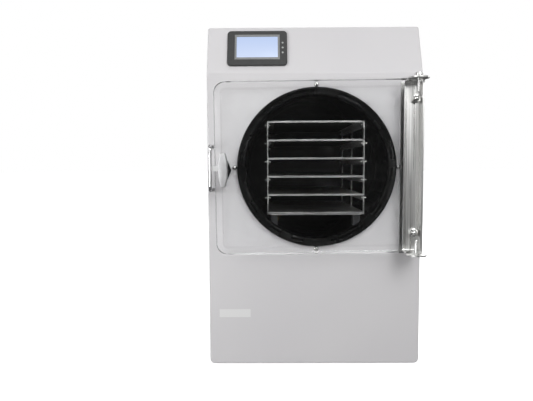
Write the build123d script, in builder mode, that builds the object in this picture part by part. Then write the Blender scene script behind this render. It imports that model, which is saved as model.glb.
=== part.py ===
from build123d import *

import os
from math import atan2, degrees, hypot, sqrt

# Cabinet freeze dryer: a round vacuum chamber in a sheet-steel cabinet, closed by a clear swing door.
# Millimetres, +Z up, the door faces -Y. The origin is on the floor under the middle of the overall box.

# ---------------------------------------------------------------- cabinet
CABINET_W = 500.0
CABINET_D = 620.0
BODY_H = 802.0
CONSOLE_RISE = 114.0          # height of the sloping console
CONSOLE_BACK = 41.0           # how far it leans back
SHEET = 1.5
FOOT_H = 6.0
FOOT_R = 16.0
BASE_BEND_R = 10.0
TOP_BEND_R = 5.0
EDGE_BEND_R = 3.0
PANEL_RETURN = 25.0           # depth of the front panel's side returns
REAR_RETURN = 20.0
TOP_DROP = 28.0               # depth of the top cover's side flanges
FOOT_LEDGE = 44.0             # width of the side panels' bottom returns
SEAM = 0.6                    # gap between neighbouring panels
REAR_REACH = 75.0             # what stands behind the rear panel

# ---------------------------------------------------------------- chamber
CHAMBER_X = 3.5
CHAMBER_H = 470.0             # axis above the cabinet's lower edge
CHAMBER_R = 165.0
CHAMBER_WALL = 4.0
CHAMBER_DEPTH = 440.0
CHAMBER_BACK = 8.0
RIM_PROUD = 8.0
FLANGE_WIDTH = 33.0
FLANGE_T = 6.0
OPENING_CLEAR = 3.0
GASKET_WIDTH = 15.3           # outside the chamber wall
GASKET_LIP = 2.0              # inside the chamber wall
GASKET_PROUD = 17.7
GASKET_ROUND = 8.5
RIM_FIT = 0.2
SCREW_R = 3.0
SCREW_FIT = 0.3
SCREW_HEAD_R = 5.75
SCREW_HEAD_H = 4.0
SCREW_GASKET_GAP = 0.3
COIL_TUBE_R = 4.8
COIL_PITCH = 30.0
COIL_TURNS = 12
COIL_GAP = 0.3
COIL_START = 45.0             # first turn behind the front panel
INSULATION_T = 25.0
INSULATION_GAP = 1.0

# ---------------------------------------------------------------- rack
RACK_CORNER_GAP = 5.3         # between the rack's lower corners and the chamber wall
RACK_FRONT = 12.0             # behind the front panel
RACK_DEPTH = 370.0
SHELF_COUNT = 6
SHELF_PITCH = 42.8
SHELF_T = 1.5
SHELF_LIP = 4.0
SHELF_SIDE = 16.0
RACK_RAISE = 1.6              # middle of the shelves above the chamber axis
SIDE_STRIP_T = 1.5
SIDE_STRIP_W = 14.0
SIDE_STRIPS = 3
RACK_BASE_T = 1.5
RACK_BASE_DROP = 5.0          # below the lowest shelf
RACK_BASE_CORNER = 8.0
RACK_SCREW_R = 1.5
RACK_SCREW_DROP = 9.5
RACK_SCREW_OUT = 6.0
RACK_SCREW_IN = 4.5
HEATER_T = 1.2
HEATER_MARGIN = 16.0
PAD_W = 16.0
PAD_L = 24.0

# ---------------------------------------------------------------- door and hinge
DOOR_T = 25.0
DOOR_GAP = 0.3                # between gasket and closed door
DOOR_H = 393.0
DOOR_LOW = 0.8                # door centre below the chamber axis
DOOR_LEFT_INSET = 20.0        # from the cabinet's left side
DOOR_RIGHT_INSET = 20.0
DOOR_CORNER_R = 27.0
DOOR_CHAMFER = 1.5
DOOR_SAG_DEG = 0.55           # the free side hangs low
HINGE_INSET = 30.5            # pin axis from the cabinet's right side
PIN_FORWARD = 26.0            # pin axis in front of the channel's plate
HINGE_PLATE_T = 3.0
LOBE_R = 22.5
CHANNEL_LEFT = 23.5           # from the pin axis
CHANNEL_RIGHT = 13.5
CHANNEL_FLANGE = 20.0         # forward reach of its right flange
CHANNEL_H = 384.5
EAR_GAP = 0.3
CHANNEL_BEND_R = 5.0          # inside, where the plate turns into its flanges
BRACKET_LEFT = 22.5           # from the pin axis
WEB_GAP = 2.0
WEB_SHORT = 17.0              # web's front edge behind the pin axis
ARM_GAP = 1.5
PIN_R = 2.9
PIN_FIT = 0.3
PIN_HEAD_R = 9.5
PIN_HEAD_H = 9.5
TOP_PIN_DROP = 27.0           # shank below the channel's top flange
BOTTOM_PIN_RISE = 29.0
NUT_HEX_R = 10.2
NUT_H = 8.0
NUT_DOME_R = 6.5
BOLT_R = 4.0
BOLT_FIT = 0.2
CHANNEL_NUTS = ((0.7, 152.2), (-0.4, -146.7))

# ---------------------------------------------------------------- latch and keeper
LATCH_INSET = 42.8            # spindle axis from the cabinet's left side
LATCH_LOW = 5.0               # spindle axis below the chamber axis
ESCUTCHEON_W = 31.0
ESCUTCHEON_H = 42.0
ESCUTCHEON_TIP_H = 3.0
ESCUTCHEON_T = 7.0
SPINDLE_R = 5.0
SPINDLE_FIT = 0.3
BUSH_R = 8.0
LATCH_NUT_R = 13.0
LATCH_NUT_H = 6.0
NOSE_H = 11.6
NOSE_T = 8.0
NOSE_GAP = 0.5                # from the escutcheon and from the wing
NOSE_RAISE = 3.2
NOSE_BAR_GAP = 2.5            # from the nose's end to the keeper bar
WING_H = 75.0
WING_W = 19.8
WING_T = 22.0
WING_TOP_W = 11.0
WING_BOTTOM_W = 9.2
WING_MIDDLE_H = 34.0
WING_BEVEL = 2.5
WING_NECK = 11.5              # between the nose and the wing
KEEPER_R = 3.5
KEEPER_INSET = 12.8           # bar centre from the cabinet's left side
KEEPER_AHEAD = 5.5            # bar centre in front of the nose
KEEPER_H = 99.5               # between its legs
KEEPER_RAISE = 4.0            # its middle above the spindle axis
KEEPER_BEND_R = 11.0

# ---------------------------------------------------------------- touch panel and label
HMI_X = -132.8
HMI_UP = 63.3                 # centre, up the slope from the fold
HMI_W = 140.0
HMI_H = 91.0
HMI_T = 6.0
HMI_CORNER_R = 9.0
SCREEN_W = 105.8
SCREEN_H = 65.7
SCREEN_UP = 1.9
SCREEN_T = 2.5
SCREEN_FIT = 0.2
HMI_BACK_W = 126.0
HMI_BACK_H = 78.0
HMI_BACK_D = 35.0
HMI_CUTOUT_GAP = 1.0
LIGHT_X = 59.4
LIGHT_R = 2.2
LIGHT_PITCH = 12.8
LABEL_W = 74.0
LABEL_H = 19.0
LABEL_T = 0.5
LABEL_X = -189.0
LABEL_Z = 123.0

# ---------------------------------------------------------------- inner frame and base
PAN_T = 2.0
PAN_EDGE = 18.0
PAN_INSET = 12.0
FRAME_LEG = 18.0
FRAME_T = 2.0
FRAME_FRONT = 78.0
FRAME_GAP = 0.2
PANEL_SCREW_R = 2.0
PANEL_SCREW_HEAD_R = 4.0
PANEL_SCREW_HEAD_H = 1.8
PANEL_SCREW_FIT = 0.2
PANEL_SCREW_L = 8.0
CRADLE_T = 3.0
CRADLE_LEG_W = 42.0
CRADLE_BAND = 26.0
CRADLE_FRONT = 110.0
CRADLE_SPACING = 240.0

# ---------------------------------------------------------------- refrigeration
COMPRESSOR_R = 72.0
COMPRESSOR_H = 160.0
COMPRESSOR_X = -105.0
COMPRESSOR_Y = 500.0
COMPRESSOR_PLATE_T = 4.0
MOUNT_R = 11.0
MOUNT_H = 14.0
MOUNT_SPACING = 120.0
CONDENSER_W = 240.0
CONDENSER_H = 200.0
CONDENSER_T = 44.0
CONDENSER_Y = 180.0
CONDENSER_TUBE_R = 4.8
CONDENSER_ROWS = 5
SHROUD_T = 12.0
SHROUD_BORE_GAP = 5.0
FAN_R = 88.0
FAN_BLADES = 5
FAN_HUB_R = 24.0
FAN_BLADE_T = 2.0
FAN_DEPTH = 26.0
FAN_SHAFT_R = 3.0
FAN_SHAFT_FIT = 0.3
MOTOR_R = 36.0
MOTOR_L = 48.0
MOTOR_ARM_W = 10.0
DRIER_R = 12.0
DRIER_L = 90.0
DRIER_X = 150.0
DRIER_Y = 480.0
DRIER_RISE = 60.0
DRIER_STRAP_W = 4.0
LINE_R = 4.0
SUCTION_R = 5.0
CAPILLARY_R = 2.0
CAPILLARY_RISE = 55.0         # above the drier before it turns to the coil
SUCTION_DROP = 38.0           # below the compressor's top
DISCHARGE_OUT = 20.0          # clear of the condenser's return bends
LINE_BEND = 14.0

# ---------------------------------------------------------------- electrics and rear fittings
TRAY_Z = 704.0
TRAY_T = 1.5
TRAY_D = 300.0
TRAY_Y = 150.0
BOARD_T = 1.6
STANDOFF_H = 8.0
PORT_X = 120.0
PORT_H = 540.0
PORT_PIPE_R = 13.0
PORT_PIPE_WALL = 1.5
PORT_FLANGE_R = 20.0
PORT_FLANGE_T = 4.0
PORT_REACH = 50.0
DRAIN_X = -60.0
DRAIN_H = 262.0
DRAIN_PIPE_R = 6.0
DRAIN_BORE_R = 4.0
DRAIN_BODY_R = 11.0
DRAIN_BODY_L = 42.0
LEVER_L = 58.0
LEVER_W = 12.0
LEVER_T = 3.0
STEM_R = 4.0
STEM_H = 6.0
SOCKET_W = 48.0
SOCKET_H = 28.0
SOCKET_PROUD = 3.0
SOCKET_DEPTH = 26.0
INLET_X = 180.0
INLET_H = 70.0
SWITCH_X = 180.0
SWITCH_H = 130.0
SWITCH_W = 32.0
SWITCH_T = 26.0
ROCKER_GAP = 0.8
VENT_ROWS = 9
VENT_W = 90.0
VENT_SLOT = 5.0
VENT_PITCH = 14.0

# ---------------------------------------------------------------- places worked out from these
DOOR_FORWARD = GASKET_PROUD + DOOR_GAP + DOOR_T
HINGE_FORWARD = DOOR_FORWARD + HINGE_PLATE_T + PIN_FORWARD
NOSE_FORWARD = DOOR_FORWARD + ESCUTCHEON_T + NOSE_GAP + NOSE_T
WING_FRONT = NOSE_FORWARD + WING_NECK + WING_T
FRONT_REACH = max(WING_FRONT, HINGE_FORWARD + LOBE_R)
FRONT_Y = (FRONT_REACH - CABINET_D - REAR_REACH) / 2
REAR_Y = FRONT_Y + CABINET_D
BASE_Z = FOOT_H
TOP_Z = BASE_Z + BODY_H
FOLD_Z = TOP_Z - CONSOLE_RISE
SIDE_X = CABINET_W / 2
CHAMBER_Z = BASE_Z + CHAMBER_H
CHAMBER_OUT = CHAMBER_R + CHAMBER_WALL
RIM_Y = FRONT_Y - RIM_PROUD
CHAMBER_END = RIM_Y + CHAMBER_DEPTH + CHAMBER_BACK
LOWEST_SHELF = RACK_RAISE - (SHELF_COUNT - 1) * SHELF_PITCH / 2
RACK_DROP = RACK_BASE_DROP + RACK_BASE_T - LOWEST_SHELF
RACK_W = 2 * sqrt((CHAMBER_R - RACK_CORNER_GAP) ** 2 - RACK_DROP**2)
GASKET_OUT = CHAMBER_OUT + GASKET_WIDTH
CHAMBER_SCREW_R = GASKET_OUT + SCREW_HEAD_R + SCREW_GASKET_GAP
FLANGE_BACK = FRONT_Y + SHEET + FLANGE_T
COIL_R = CHAMBER_OUT + COIL_TUBE_R + COIL_GAP
INSULATION_IN = COIL_R + COIL_TUBE_R + INSULATION_GAP
INSULATION_OUT = INSULATION_IN + INSULATION_T
CRADLE_LEG_IN = max(INSULATION_OUT - CRADLE_LEG_W, DRIER_X + DRIER_R)
PAN_TOP = BASE_Z + SHEET + PAN_T
HINGE_X = SIDE_X - HINGE_INSET
HINGE_Y = FRONT_Y - HINGE_FORWARD
DOOR_BACK = FRONT_Y - GASKET_PROUD - DOOR_GAP
DOOR_FRONT = DOOR_BACK - DOOR_T
DOOR_Z = CHAMBER_Z - DOOR_LOW
DOOR_LEFT = -SIDE_X + DOOR_LEFT_INSET
DOOR_RIGHT = SIDE_X - DOOR_RIGHT_INSET
CHANNEL_FRONT = DOOR_FRONT - HINGE_PLATE_T
LATCH_X = -SIDE_X + LATCH_INSET
LATCH_Z = CHAMBER_Z - LATCH_LOW
KEEPER_X = -SIDE_X + KEEPER_INSET
KEEPER_Y = FRONT_Y - NOSE_FORWARD - KEEPER_AHEAD
CONSOLE_DEG = degrees(atan2(CONSOLE_BACK, CONSOLE_RISE))
CONSOLE_LENGTH = hypot(CONSOLE_BACK, CONSOLE_RISE)


def facing(y):
    """An upright plane at depth y, drawn as the front view: x to the right, z up."""
    return Plane.XZ.offset(-y)


def console(x, up):
    """A plane on the console's face, with its origin x across and up the slope from the fold."""
    run = CONSOLE_BACK / CONSOLE_LENGTH
    rise = CONSOLE_RISE / CONSOLE_LENGTH
    origin = (x, FRONT_Y + up * run, FOLD_Z + up * rise)
    return Plane(origin=origin, x_dir=(1, 0, 0), z_dir=(0, -rise, run))


def save(part, name):
    """Labels a finished piece and writes it as its own STEP file."""
    part.label = name
    export_step(part, f"parts/{name}.step")


os.makedirs("parts", exist_ok=True)


# ================================================================ cabinet sheets
def cabinet_block(inset):
    """The cabinet's closed outer form, shrunk on every side by inset."""
    with BuildPart() as block:
        with BuildSketch(facing(REAR_Y - inset)):
            with Locations((0, BASE_Z + BODY_H / 2)):
                Rectangle(CABINET_W - 2 * inset, BODY_H - 2 * inset)
        extrude(amount=CABINET_D - 2 * inset)
        fillet(block.edges().filter_by(Axis.Y).group_by(Axis.Z)[0], radius=BASE_BEND_R - inset)
        fillet(block.edges().filter_by(Axis.Y).group_by(Axis.Z)[-1], radius=TOP_BEND_R - inset)
        with BuildSketch(Plane.YZ):
            with BuildLine():
                Polyline(
                    (FRONT_Y, BASE_Z),
                    (FRONT_Y, FOLD_Z),
                    (FRONT_Y + CONSOLE_BACK, TOP_Z),
                    (REAR_Y, TOP_Z),
                    (REAR_Y, BASE_Z),
                    close=True,
                )
            make_face()
            if inset:
                offset(amount=-inset, kind=Kind.INTERSECTION)
        extrude(amount=CABINET_W, both=True, mode=Mode.INTERSECT)
        front = block.faces().filter_by(Axis.Y).sort_by(Axis.Y)[0].edges()
        slope = block.faces().sort_by(lambda f: f.center().Y - f.center().Z)[0].edges()
        rear = block.faces().filter_by(Axis.Y).sort_by(Axis.Y)[-1].edges()
        fillet(ShapeList(set(front + slope + rear)), radius=EDGE_BEND_R - inset)
    return block.part


def front_zone(gap):
    """Everything ahead of the joint between the front panel and the sheets behind it."""
    lean = CONSOLE_BACK / CONSOLE_RISE
    back = FRONT_Y + PANEL_RETURN + gap
    with BuildPart() as zone:
        with BuildSketch(Plane.YZ):
            with BuildLine():
                Polyline(
                    (FRONT_Y - PANEL_RETURN, 0),
                    (back, 0),
                    (back, FOLD_Z),
                    (back + lean * (CONSOLE_RISE + PANEL_RETURN), TOP_Z + PANEL_RETURN),
                    (FRONT_Y - PANEL_RETURN, TOP_Z + PANEL_RETURN),
                    close=True,
                )
            make_face()
        extrude(amount=CABINET_W, both=True)
    return zone.part


def zone_box(low, high):
    """A plain box between two corners, used to divide the skin."""
    size = [b - a for a, b in zip(low, high)]
    middle = tuple((a + b) / 2 for a, b in zip(low, high))
    with BuildPart() as zone:
        with Locations(middle):
            Box(*size)
    return zone.part


with BuildPart() as skin:
    add(cabinet_block(0))
    add(cabinet_block(SHEET), mode=Mode.SUBTRACT)

FAR = 2 * CABINET_W + BODY_H
TOP_SPLIT = TOP_Z - TOP_DROP
REAR_SPLIT = REAR_Y - REAR_RETURN
PAN_HALF = SIDE_X - PAN_INSET
PAN_FRONT = FRONT_Y + PAN_INSET
PAN_REAR = REAR_Y - PAN_INSET
FRAME_X = SIDE_X - SHEET - FRAME_GAP
FRAME_REAR = REAR_Y - SHEET - FRAME_GAP
FRAME_TOP = TOP_Z - TOP_BEND_R - SHEET
FRAME_LOW = PAN_TOP + PAN_EDGE
SIDE_SCREW_Z = (BASE_Z + 60.0, CHAMBER_Z, TOP_SPLIT - 25.0)
SIDE_SCREW_Y = (FRONT_Y + FRAME_FRONT + FRAME_LEG / 2, FRAME_REAR - FRAME_LEG / 2 - REAR_RETURN)
REAR_SCREW_X = (-(FRAME_X - FRAME_LEG / 2), FRAME_X - FRAME_LEG / 2)


def across(x):
    """An upright plane at x, facing +X: y to the right, z up."""
    return Plane.YZ.offset(x)


def bore(plane, points, radius, depth, both=False):
    """Cuts a round hole at each point of a plane, depth along its normal."""
    with BuildSketch(plane) as circles:
        with Locations(*points):
            Circle(radius)
    extrude(circles.sketch, amount=depth, both=both, mode=Mode.SUBTRACT)


SIDE_SCREWS = [(y, z) for y in SIDE_SCREW_Y for z in SIDE_SCREW_Z]
REAR_SCREWS = [(x, z) for x in REAR_SCREW_X for z in SIDE_SCREW_Z]
CHAMBER_SCREWS = [(0, 1), (1, 0), (0, -1), (-1, 0)]
CHAMBER_SCREW_PLACES = [
    (CHAMBER_X + CHAMBER_SCREW_R * x, CHAMBER_Z + CHAMBER_SCREW_R * z) for x, z in CHAMBER_SCREWS
]
BRACKET_SCREW_X = HINGE_X + 2.0
BRACKET_SCREW_PLACES = [(BRACKET_SCREW_X, DOOR_Z + dz) for dz in (-150.0, -50.0, 50.0, 150.0)]
KEEPER_LEGS = [(KEEPER_X, LATCH_Z + KEEPER_RAISE + dz * KEEPER_H / 2) for dz in (-1, 1)]

with BuildPart() as front_panel:
    add(skin.part)
    add(front_zone(0), mode=Mode.INTERSECT)
    bore(facing(FRONT_Y), [(CHAMBER_X, CHAMBER_Z)], CHAMBER_OUT + OPENING_CLEAR, -2 * SHEET)
    bore(facing(FRONT_Y), CHAMBER_SCREW_PLACES + BRACKET_SCREW_PLACES, SCREW_R + SCREW_FIT, -2 * SHEET)
    bore(facing(FRONT_Y), KEEPER_LEGS, KEEPER_R + SCREW_FIT, -2 * SHEET)
    with BuildSketch(console(HMI_X, HMI_UP)):
        Rectangle(HMI_BACK_W + 2 * HMI_CUTOUT_GAP, HMI_BACK_H + 2 * HMI_CUTOUT_GAP)
    extrude(amount=-2 * SHEET, mode=Mode.SUBTRACT)
save(front_panel.part, "front_panel")

with BuildPart() as top_cover:
    add(skin.part)
    add(front_zone(SEAM), mode=Mode.SUBTRACT)
    add(zone_box((-FAR, -FAR, TOP_SPLIT + SEAM), (FAR, FAR, FAR)), mode=Mode.INTERSECT)
save(top_cover.part, "top_cover")


def side_panel(side):
    """One side sheet with its bottom ledge and two fields of vent slots; side is -1 left, 1 right."""
    with BuildPart() as panel:
        add(skin.part)
        add(front_zone(SEAM), mode=Mode.SUBTRACT)
        inner = side * (SIDE_X - FOOT_LEDGE)
        outer = side * FAR
        low = (min(inner, outer), -FAR, -FAR)
        high = (max(inner, outer), REAR_SPLIT - SEAM, TOP_SPLIT)
        add(zone_box(low, high), mode=Mode.INTERSECT)
        bore(across(side * SIDE_X), SIDE_SCREWS, PANEL_SCREW_R + PANEL_SCREW_FIT, -side * 2 * SHEET)
        with BuildSketch(across(side * SIDE_X)):
            with Locations((FRONT_Y + CONDENSER_Y, BASE_Z + CONDENSER_H / 2 + PAN_EDGE)):
                with GridLocations(VENT_W, VENT_PITCH, 1, VENT_ROWS):
                    SlotOverall(VENT_W, VENT_SLOT)
        extrude(amount=-side * 2 * SHEET, mode=Mode.SUBTRACT)
    return panel.part


save(side_panel(-1), "left_side_panel")
save(side_panel(1), "right_side_panel")

with BuildPart() as rear_panel:
    add(skin.part)
    add(zone_box((-FAR, REAR_SPLIT, -FAR), (FAR, FAR, TOP_SPLIT)), mode=Mode.INTERSECT)
    bore(facing(REAR_Y), REAR_SCREWS, PANEL_SCREW_R + PANEL_SCREW_FIT, 2 * SHEET)
    bore(facing(REAR_Y), [(PORT_X, BASE_Z + PORT_H)], PORT_PIPE_R + SCREW_FIT, 2 * SHEET)
    bore(facing(REAR_Y), [(DRAIN_X, BASE_Z + DRAIN_H)], DRAIN_PIPE_R + SCREW_FIT, 2 * SHEET)
    with BuildSketch(facing(REAR_Y)):
        with Locations((INLET_X, BASE_Z + INLET_H)):
            Rectangle(SOCKET_W - 2 * SOCKET_PROUD, SOCKET_H - 2 * SOCKET_PROUD)
        with Locations((SWITCH_X, BASE_Z + SWITCH_H)):
            Rectangle(SWITCH_W - 2 * SOCKET_PROUD, SWITCH_T - 2 * SOCKET_PROUD)
        with Locations((COMPRESSOR_X, BASE_Z + COMPRESSOR_H / 2 + PAN_EDGE)):
            with GridLocations(VENT_W, VENT_PITCH, 1, VENT_ROWS):
                SlotOverall(VENT_W, VENT_SLOT)
    extrude(amount=2 * SHEET, mode=Mode.SUBTRACT)
save(rear_panel.part, "rear_panel")

# ================================================================ base, frame, feet, screws
with BuildPart() as base_pan:
    with BuildSketch(Plane.XY.offset(BASE_Z + SHEET)) as pan_outline:
        with Locations((0, (PAN_FRONT + PAN_REAR) / 2)):
            Rectangle(2 * PAN_HALF, PAN_REAR - PAN_FRONT)
        fillet(pan_outline.vertices(), radius=BASE_BEND_R)
    extrude(amount=PAN_T + PAN_EDGE)
    offset(amount=-PAN_T, openings=base_pan.faces().sort_by(Axis.Z)[-1])
save(base_pan.part, "base_pan")


def angle_post(x_side, y_corner, y_turn):
    """An upright angle whose corner is at the frame's side and depth y_corner."""
    corner_x = x_side * FRAME_X
    with BuildSketch(Plane.XY.offset(FRAME_LOW)) as section:
        with BuildLine():
            Polyline(
                (corner_x, y_corner),
                (corner_x, y_corner + y_turn * FRAME_LEG),
                (corner_x - x_side * FRAME_T, y_corner + y_turn * FRAME_LEG),
                (corner_x - x_side * FRAME_T, y_corner + y_turn * FRAME_T),
                (corner_x - x_side * FRAME_LEG, y_corner + y_turn * FRAME_T),
                (corner_x - x_side * FRAME_LEG, y_corner),
                close=True,
            )
        make_face()
    extrude(section.sketch, amount=FRAME_TOP - FRAME_LOW)


FRAME_REAR_Y = FRAME_REAR - REAR_RETURN
TRAY_TOP = TRAY_Z + TRAY_T

with BuildPart() as cabinet_frame:
    for side in (-1, 1):
        angle_post(side, FRONT_Y + FRAME_FRONT, 1)
        angle_post(side, FRAME_REAR_Y, -1)
        for rail_z in (TRAY_Z - FRAME_LEG, FRAME_TOP - FRAME_LEG):
            with BuildSketch(Plane.XY.offset(rail_z)):
                with Locations((side * (FRAME_X - FRAME_T / 2), (FRONT_Y + FRAME_FRONT + FRAME_REAR_Y) / 2)):
                    Rectangle(FRAME_T, FRAME_REAR_Y - FRONT_Y - FRAME_FRONT)
            extrude(amount=FRAME_LEG)
    for y in (FRONT_Y + FRAME_FRONT + FRAME_T / 2, FRAME_REAR_Y - FRAME_T / 2):
        with BuildSketch(Plane.XY.offset(FRAME_TOP - FRAME_LEG)):
            with Locations((0, y)):
                Rectangle(2 * FRAME_X, FRAME_T)
        extrude(amount=FRAME_LEG)
    for side in (-1, 1):
        bore(across(side * SIDE_X), SIDE_SCREWS, PANEL_SCREW_R + PANEL_SCREW_FIT, -side * FRAME_LEG / 2)
save(cabinet_frame.part, "cabinet_frame")

with BuildPart() as rubber_feet:
    with BuildSketch():
        for side in (-1, 1):
            foot_x = side * (SIDE_X - BASE_BEND_R - FOOT_R)
            with Locations(
                (foot_x, FRONT_Y + PANEL_RETURN + SEAM + FOOT_R + EDGE_BEND_R),
                (foot_x, REAR_SPLIT - SEAM - FOOT_R - EDGE_BEND_R),
            ):
                Circle(FOOT_R)
    extrude(amount=FOOT_H)
save(rubber_feet.part, "rubber_feet")

with BuildPart() as panel_screws:
    for side in (-1, 1):
        for radius, start, length in (
            (PANEL_SCREW_HEAD_R, 0, PANEL_SCREW_HEAD_H),
            (PANEL_SCREW_R, 0, -PANEL_SCREW_L),
        ):
            with BuildSketch(across(side * (SIDE_X + start))):
                with Locations(*SIDE_SCREWS):
                    Circle(radius)
            extrude(amount=side * length)
    for radius, length in ((PANEL_SCREW_HEAD_R, -PANEL_SCREW_HEAD_H), (PANEL_SCREW_R, PANEL_SCREW_L)):
        with BuildSketch(facing(REAR_Y)):
            with Locations(*REAR_SCREWS):
                Circle(radius)
        extrude(amount=length)
save(panel_screws.part, "panel_screws")

# ================================================================ vacuum chamber
with BuildPart() as vacuum_chamber:
    with BuildSketch(facing(RIM_Y)):
        with Locations((CHAMBER_X, CHAMBER_Z)):
            Circle(CHAMBER_OUT)
            Circle(CHAMBER_R, mode=Mode.SUBTRACT)
    extrude(amount=-CHAMBER_DEPTH)
save(vacuum_chamber.part, "vacuum_chamber")

with BuildPart() as chamber_flange:
    with BuildSketch(facing(FRONT_Y + SHEET)):
        with Locations((CHAMBER_X, CHAMBER_Z)):
            Circle(CHAMBER_OUT + FLANGE_WIDTH)
            Circle(CHAMBER_OUT, mode=Mode.SUBTRACT)
    extrude(amount=-FLANGE_T)
    bore(facing(FRONT_Y + SHEET), CHAMBER_SCREW_PLACES, SCREW_R + SCREW_FIT / 2, -FLANGE_T)
save(chamber_flange.part, "chamber_flange")

with BuildPart() as chamber_back:
    with BuildSketch(facing(RIM_Y + CHAMBER_DEPTH)):
        with Locations((CHAMBER_X, CHAMBER_Z)):
            Circle(CHAMBER_OUT)
    extrude(amount=-CHAMBER_BACK)
    bore(facing(CHAMBER_END), [(PORT_X, BASE_Z + PORT_H)], PORT_PIPE_R + SCREW_FIT, 2 * CHAMBER_BACK)
    bore(facing(CHAMBER_END), [(DRAIN_X, BASE_Z + DRAIN_H + 80.0)], DRAIN_PIPE_R + SCREW_FIT, 2 * CHAMBER_BACK)
save(chamber_back.part, "chamber_back")

with BuildPart() as door_gasket:
    with BuildSketch(Plane.XY.offset(CHAMBER_Z)) as gasket_section:
        inner = CHAMBER_X + CHAMBER_R - RIM_FIT - GASKET_LIP
        outer = CHAMBER_X + GASKET_OUT
        with Locations(((inner + outer) / 2, FRONT_Y - GASKET_PROUD / 2)):
            Rectangle(outer - inner, GASKET_PROUD)
        fillet(gasket_section.vertices().group_by(Axis.Y)[0], radius=GASKET_ROUND)
        groove = CHAMBER_WALL + 2 * RIM_FIT
        with Locations((CHAMBER_X + CHAMBER_R + CHAMBER_WALL / 2, FRONT_Y)):
            Rectangle(groove, 2 * (RIM_PROUD + RIM_FIT), mode=Mode.SUBTRACT)
    revolve(axis=Axis((CHAMBER_X, 0, CHAMBER_Z), (0, 1, 0)))
save(door_gasket.part, "door_gasket")

with BuildPart() as button_screws:
    bracket_face = FRONT_Y - HINGE_PLATE_T
    for face_y, places, reach in (
        (FRONT_Y, CHAMBER_SCREW_PLACES, SHEET + FLANGE_T),
        (bracket_face, BRACKET_SCREW_PLACES, HINGE_PLATE_T + 2 * SHEET),
    ):
        for place in places:
            with BuildSketch(Plane.XY.offset(place[1])) as profile:
                with BuildLine():
                    Polyline(
                        (place[0], face_y - SCREW_HEAD_H),
                        (place[0] + SCREW_HEAD_R * 0.55, face_y - SCREW_HEAD_H),
                        (place[0] + SCREW_HEAD_R * 0.9, face_y - SCREW_HEAD_H * 0.6),
                        (place[0] + SCREW_HEAD_R, face_y),
                        (place[0] + SCREW_R, face_y),
                        (place[0] + SCREW_R, face_y + reach),
                        (place[0], face_y + reach),
                        close=True,
                    )
                make_face()
            revolve(axis=Axis((place[0], 0, place[1]), (0, 1, 0)))
save(button_screws.part, "button_screws")

with BuildPart() as evaporator_coil:
    with BuildSketch(Plane.XY.offset(CHAMBER_Z)):
        for turn in range(COIL_TURNS):
            with Locations((CHAMBER_X + COIL_R, FRONT_Y + COIL_START + turn * COIL_PITCH)):
                Circle(COIL_TUBE_R)
    revolve(axis=Axis((CHAMBER_X, 0, CHAMBER_Z), (0, 1, 0)))
    with BuildSketch(facing(FRONT_Y + COIL_START)):
        with Locations((CHAMBER_X + COIL_R, CHAMBER_Z)):
            Circle(COIL_TUBE_R)
    extrude(amount=-(COIL_TURNS - 1) * COIL_PITCH)
save(evaporator_coil.part, "evaporator_coil")

COIL_END = FRONT_Y + COIL_START + (COIL_TURNS - 1) * COIL_PITCH
INSULATION_END = CHAMBER_END + INSULATION_T

with BuildPart() as chamber_insulation:
    with BuildSketch(facing(FLANGE_BACK)):
        with Locations((CHAMBER_X, CHAMBER_Z)):
            Circle(INSULATION_OUT)
    extrude(amount=-(INSULATION_END - FLANGE_BACK))
    with BuildSketch(facing(FLANGE_BACK)):
        with Locations((CHAMBER_X, CHAMBER_Z)):
            Circle(INSULATION_IN)
    extrude(amount=-(CHAMBER_END - FLANGE_BACK), mode=Mode.SUBTRACT)
    bore(facing(INSULATION_END), [(PORT_X, BASE_Z + PORT_H)], PORT_PIPE_R + SCREW_FIT, 2 * INSULATION_T)
    bore(
        facing(INSULATION_END),
        [(DRAIN_X, BASE_Z + DRAIN_H + 80.0)],
        DRAIN_PIPE_R + SCREW_FIT,
        2 * INSULATION_T,
    )
    bore(
        facing(INSULATION_END),
        [(CHAMBER_X + COIL_R, CHAMBER_Z), (CHAMBER_X - COIL_R, CHAMBER_Z)],
        SUCTION_R + SCREW_FIT,
        INSULATION_END - COIL_END + COIL_PITCH,
    )
save(chamber_insulation.part, "chamber_insulation")

with BuildPart() as chamber_cradle:
    reach = INSULATION_OUT + CRADLE_BAND
    for y in (FRONT_Y + CRADLE_FRONT, FRONT_Y + CRADLE_FRONT + CRADLE_SPACING):
        with BuildSketch(facing(y)):
            with Locations((CHAMBER_X, CHAMBER_Z)):
                Circle(reach)
            with Locations((CHAMBER_X, (PAN_TOP + CHAMBER_Z - INSULATION_OUT / 2) / 2)):
                Rectangle(2 * INSULATION_OUT, CHAMBER_Z - INSULATION_OUT / 2 - PAN_TOP)
            with Locations((CHAMBER_X, CHAMBER_Z)):
                Circle(INSULATION_OUT, mode=Mode.SUBTRACT)
            with Locations((CHAMBER_X, CHAMBER_Z - INSULATION_OUT / 2 + reach)):
                Rectangle(3 * reach, 2 * reach, mode=Mode.SUBTRACT)
            with Locations((CHAMBER_X, (PAN_TOP + CHAMBER_Z - reach) / 2)):
                Rectangle(2 * CRADLE_LEG_IN, CHAMBER_Z - reach - PAN_TOP, mode=Mode.SUBTRACT)
        extrude(amount=-CRADLE_T)
    for side in (-1, 1):
        with BuildSketch(facing(FRONT_Y + CRADLE_FRONT)):
            with Locations((CHAMBER_X + side * (INSULATION_OUT - CRADLE_T / 2), PAN_TOP + CRADLE_LEG_W / 2)):
                Rectangle(CRADLE_T, CRADLE_LEG_W)
        extrude(amount=-CRADLE_SPACING)
save(chamber_cradle.part, "chamber_cradle")

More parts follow.
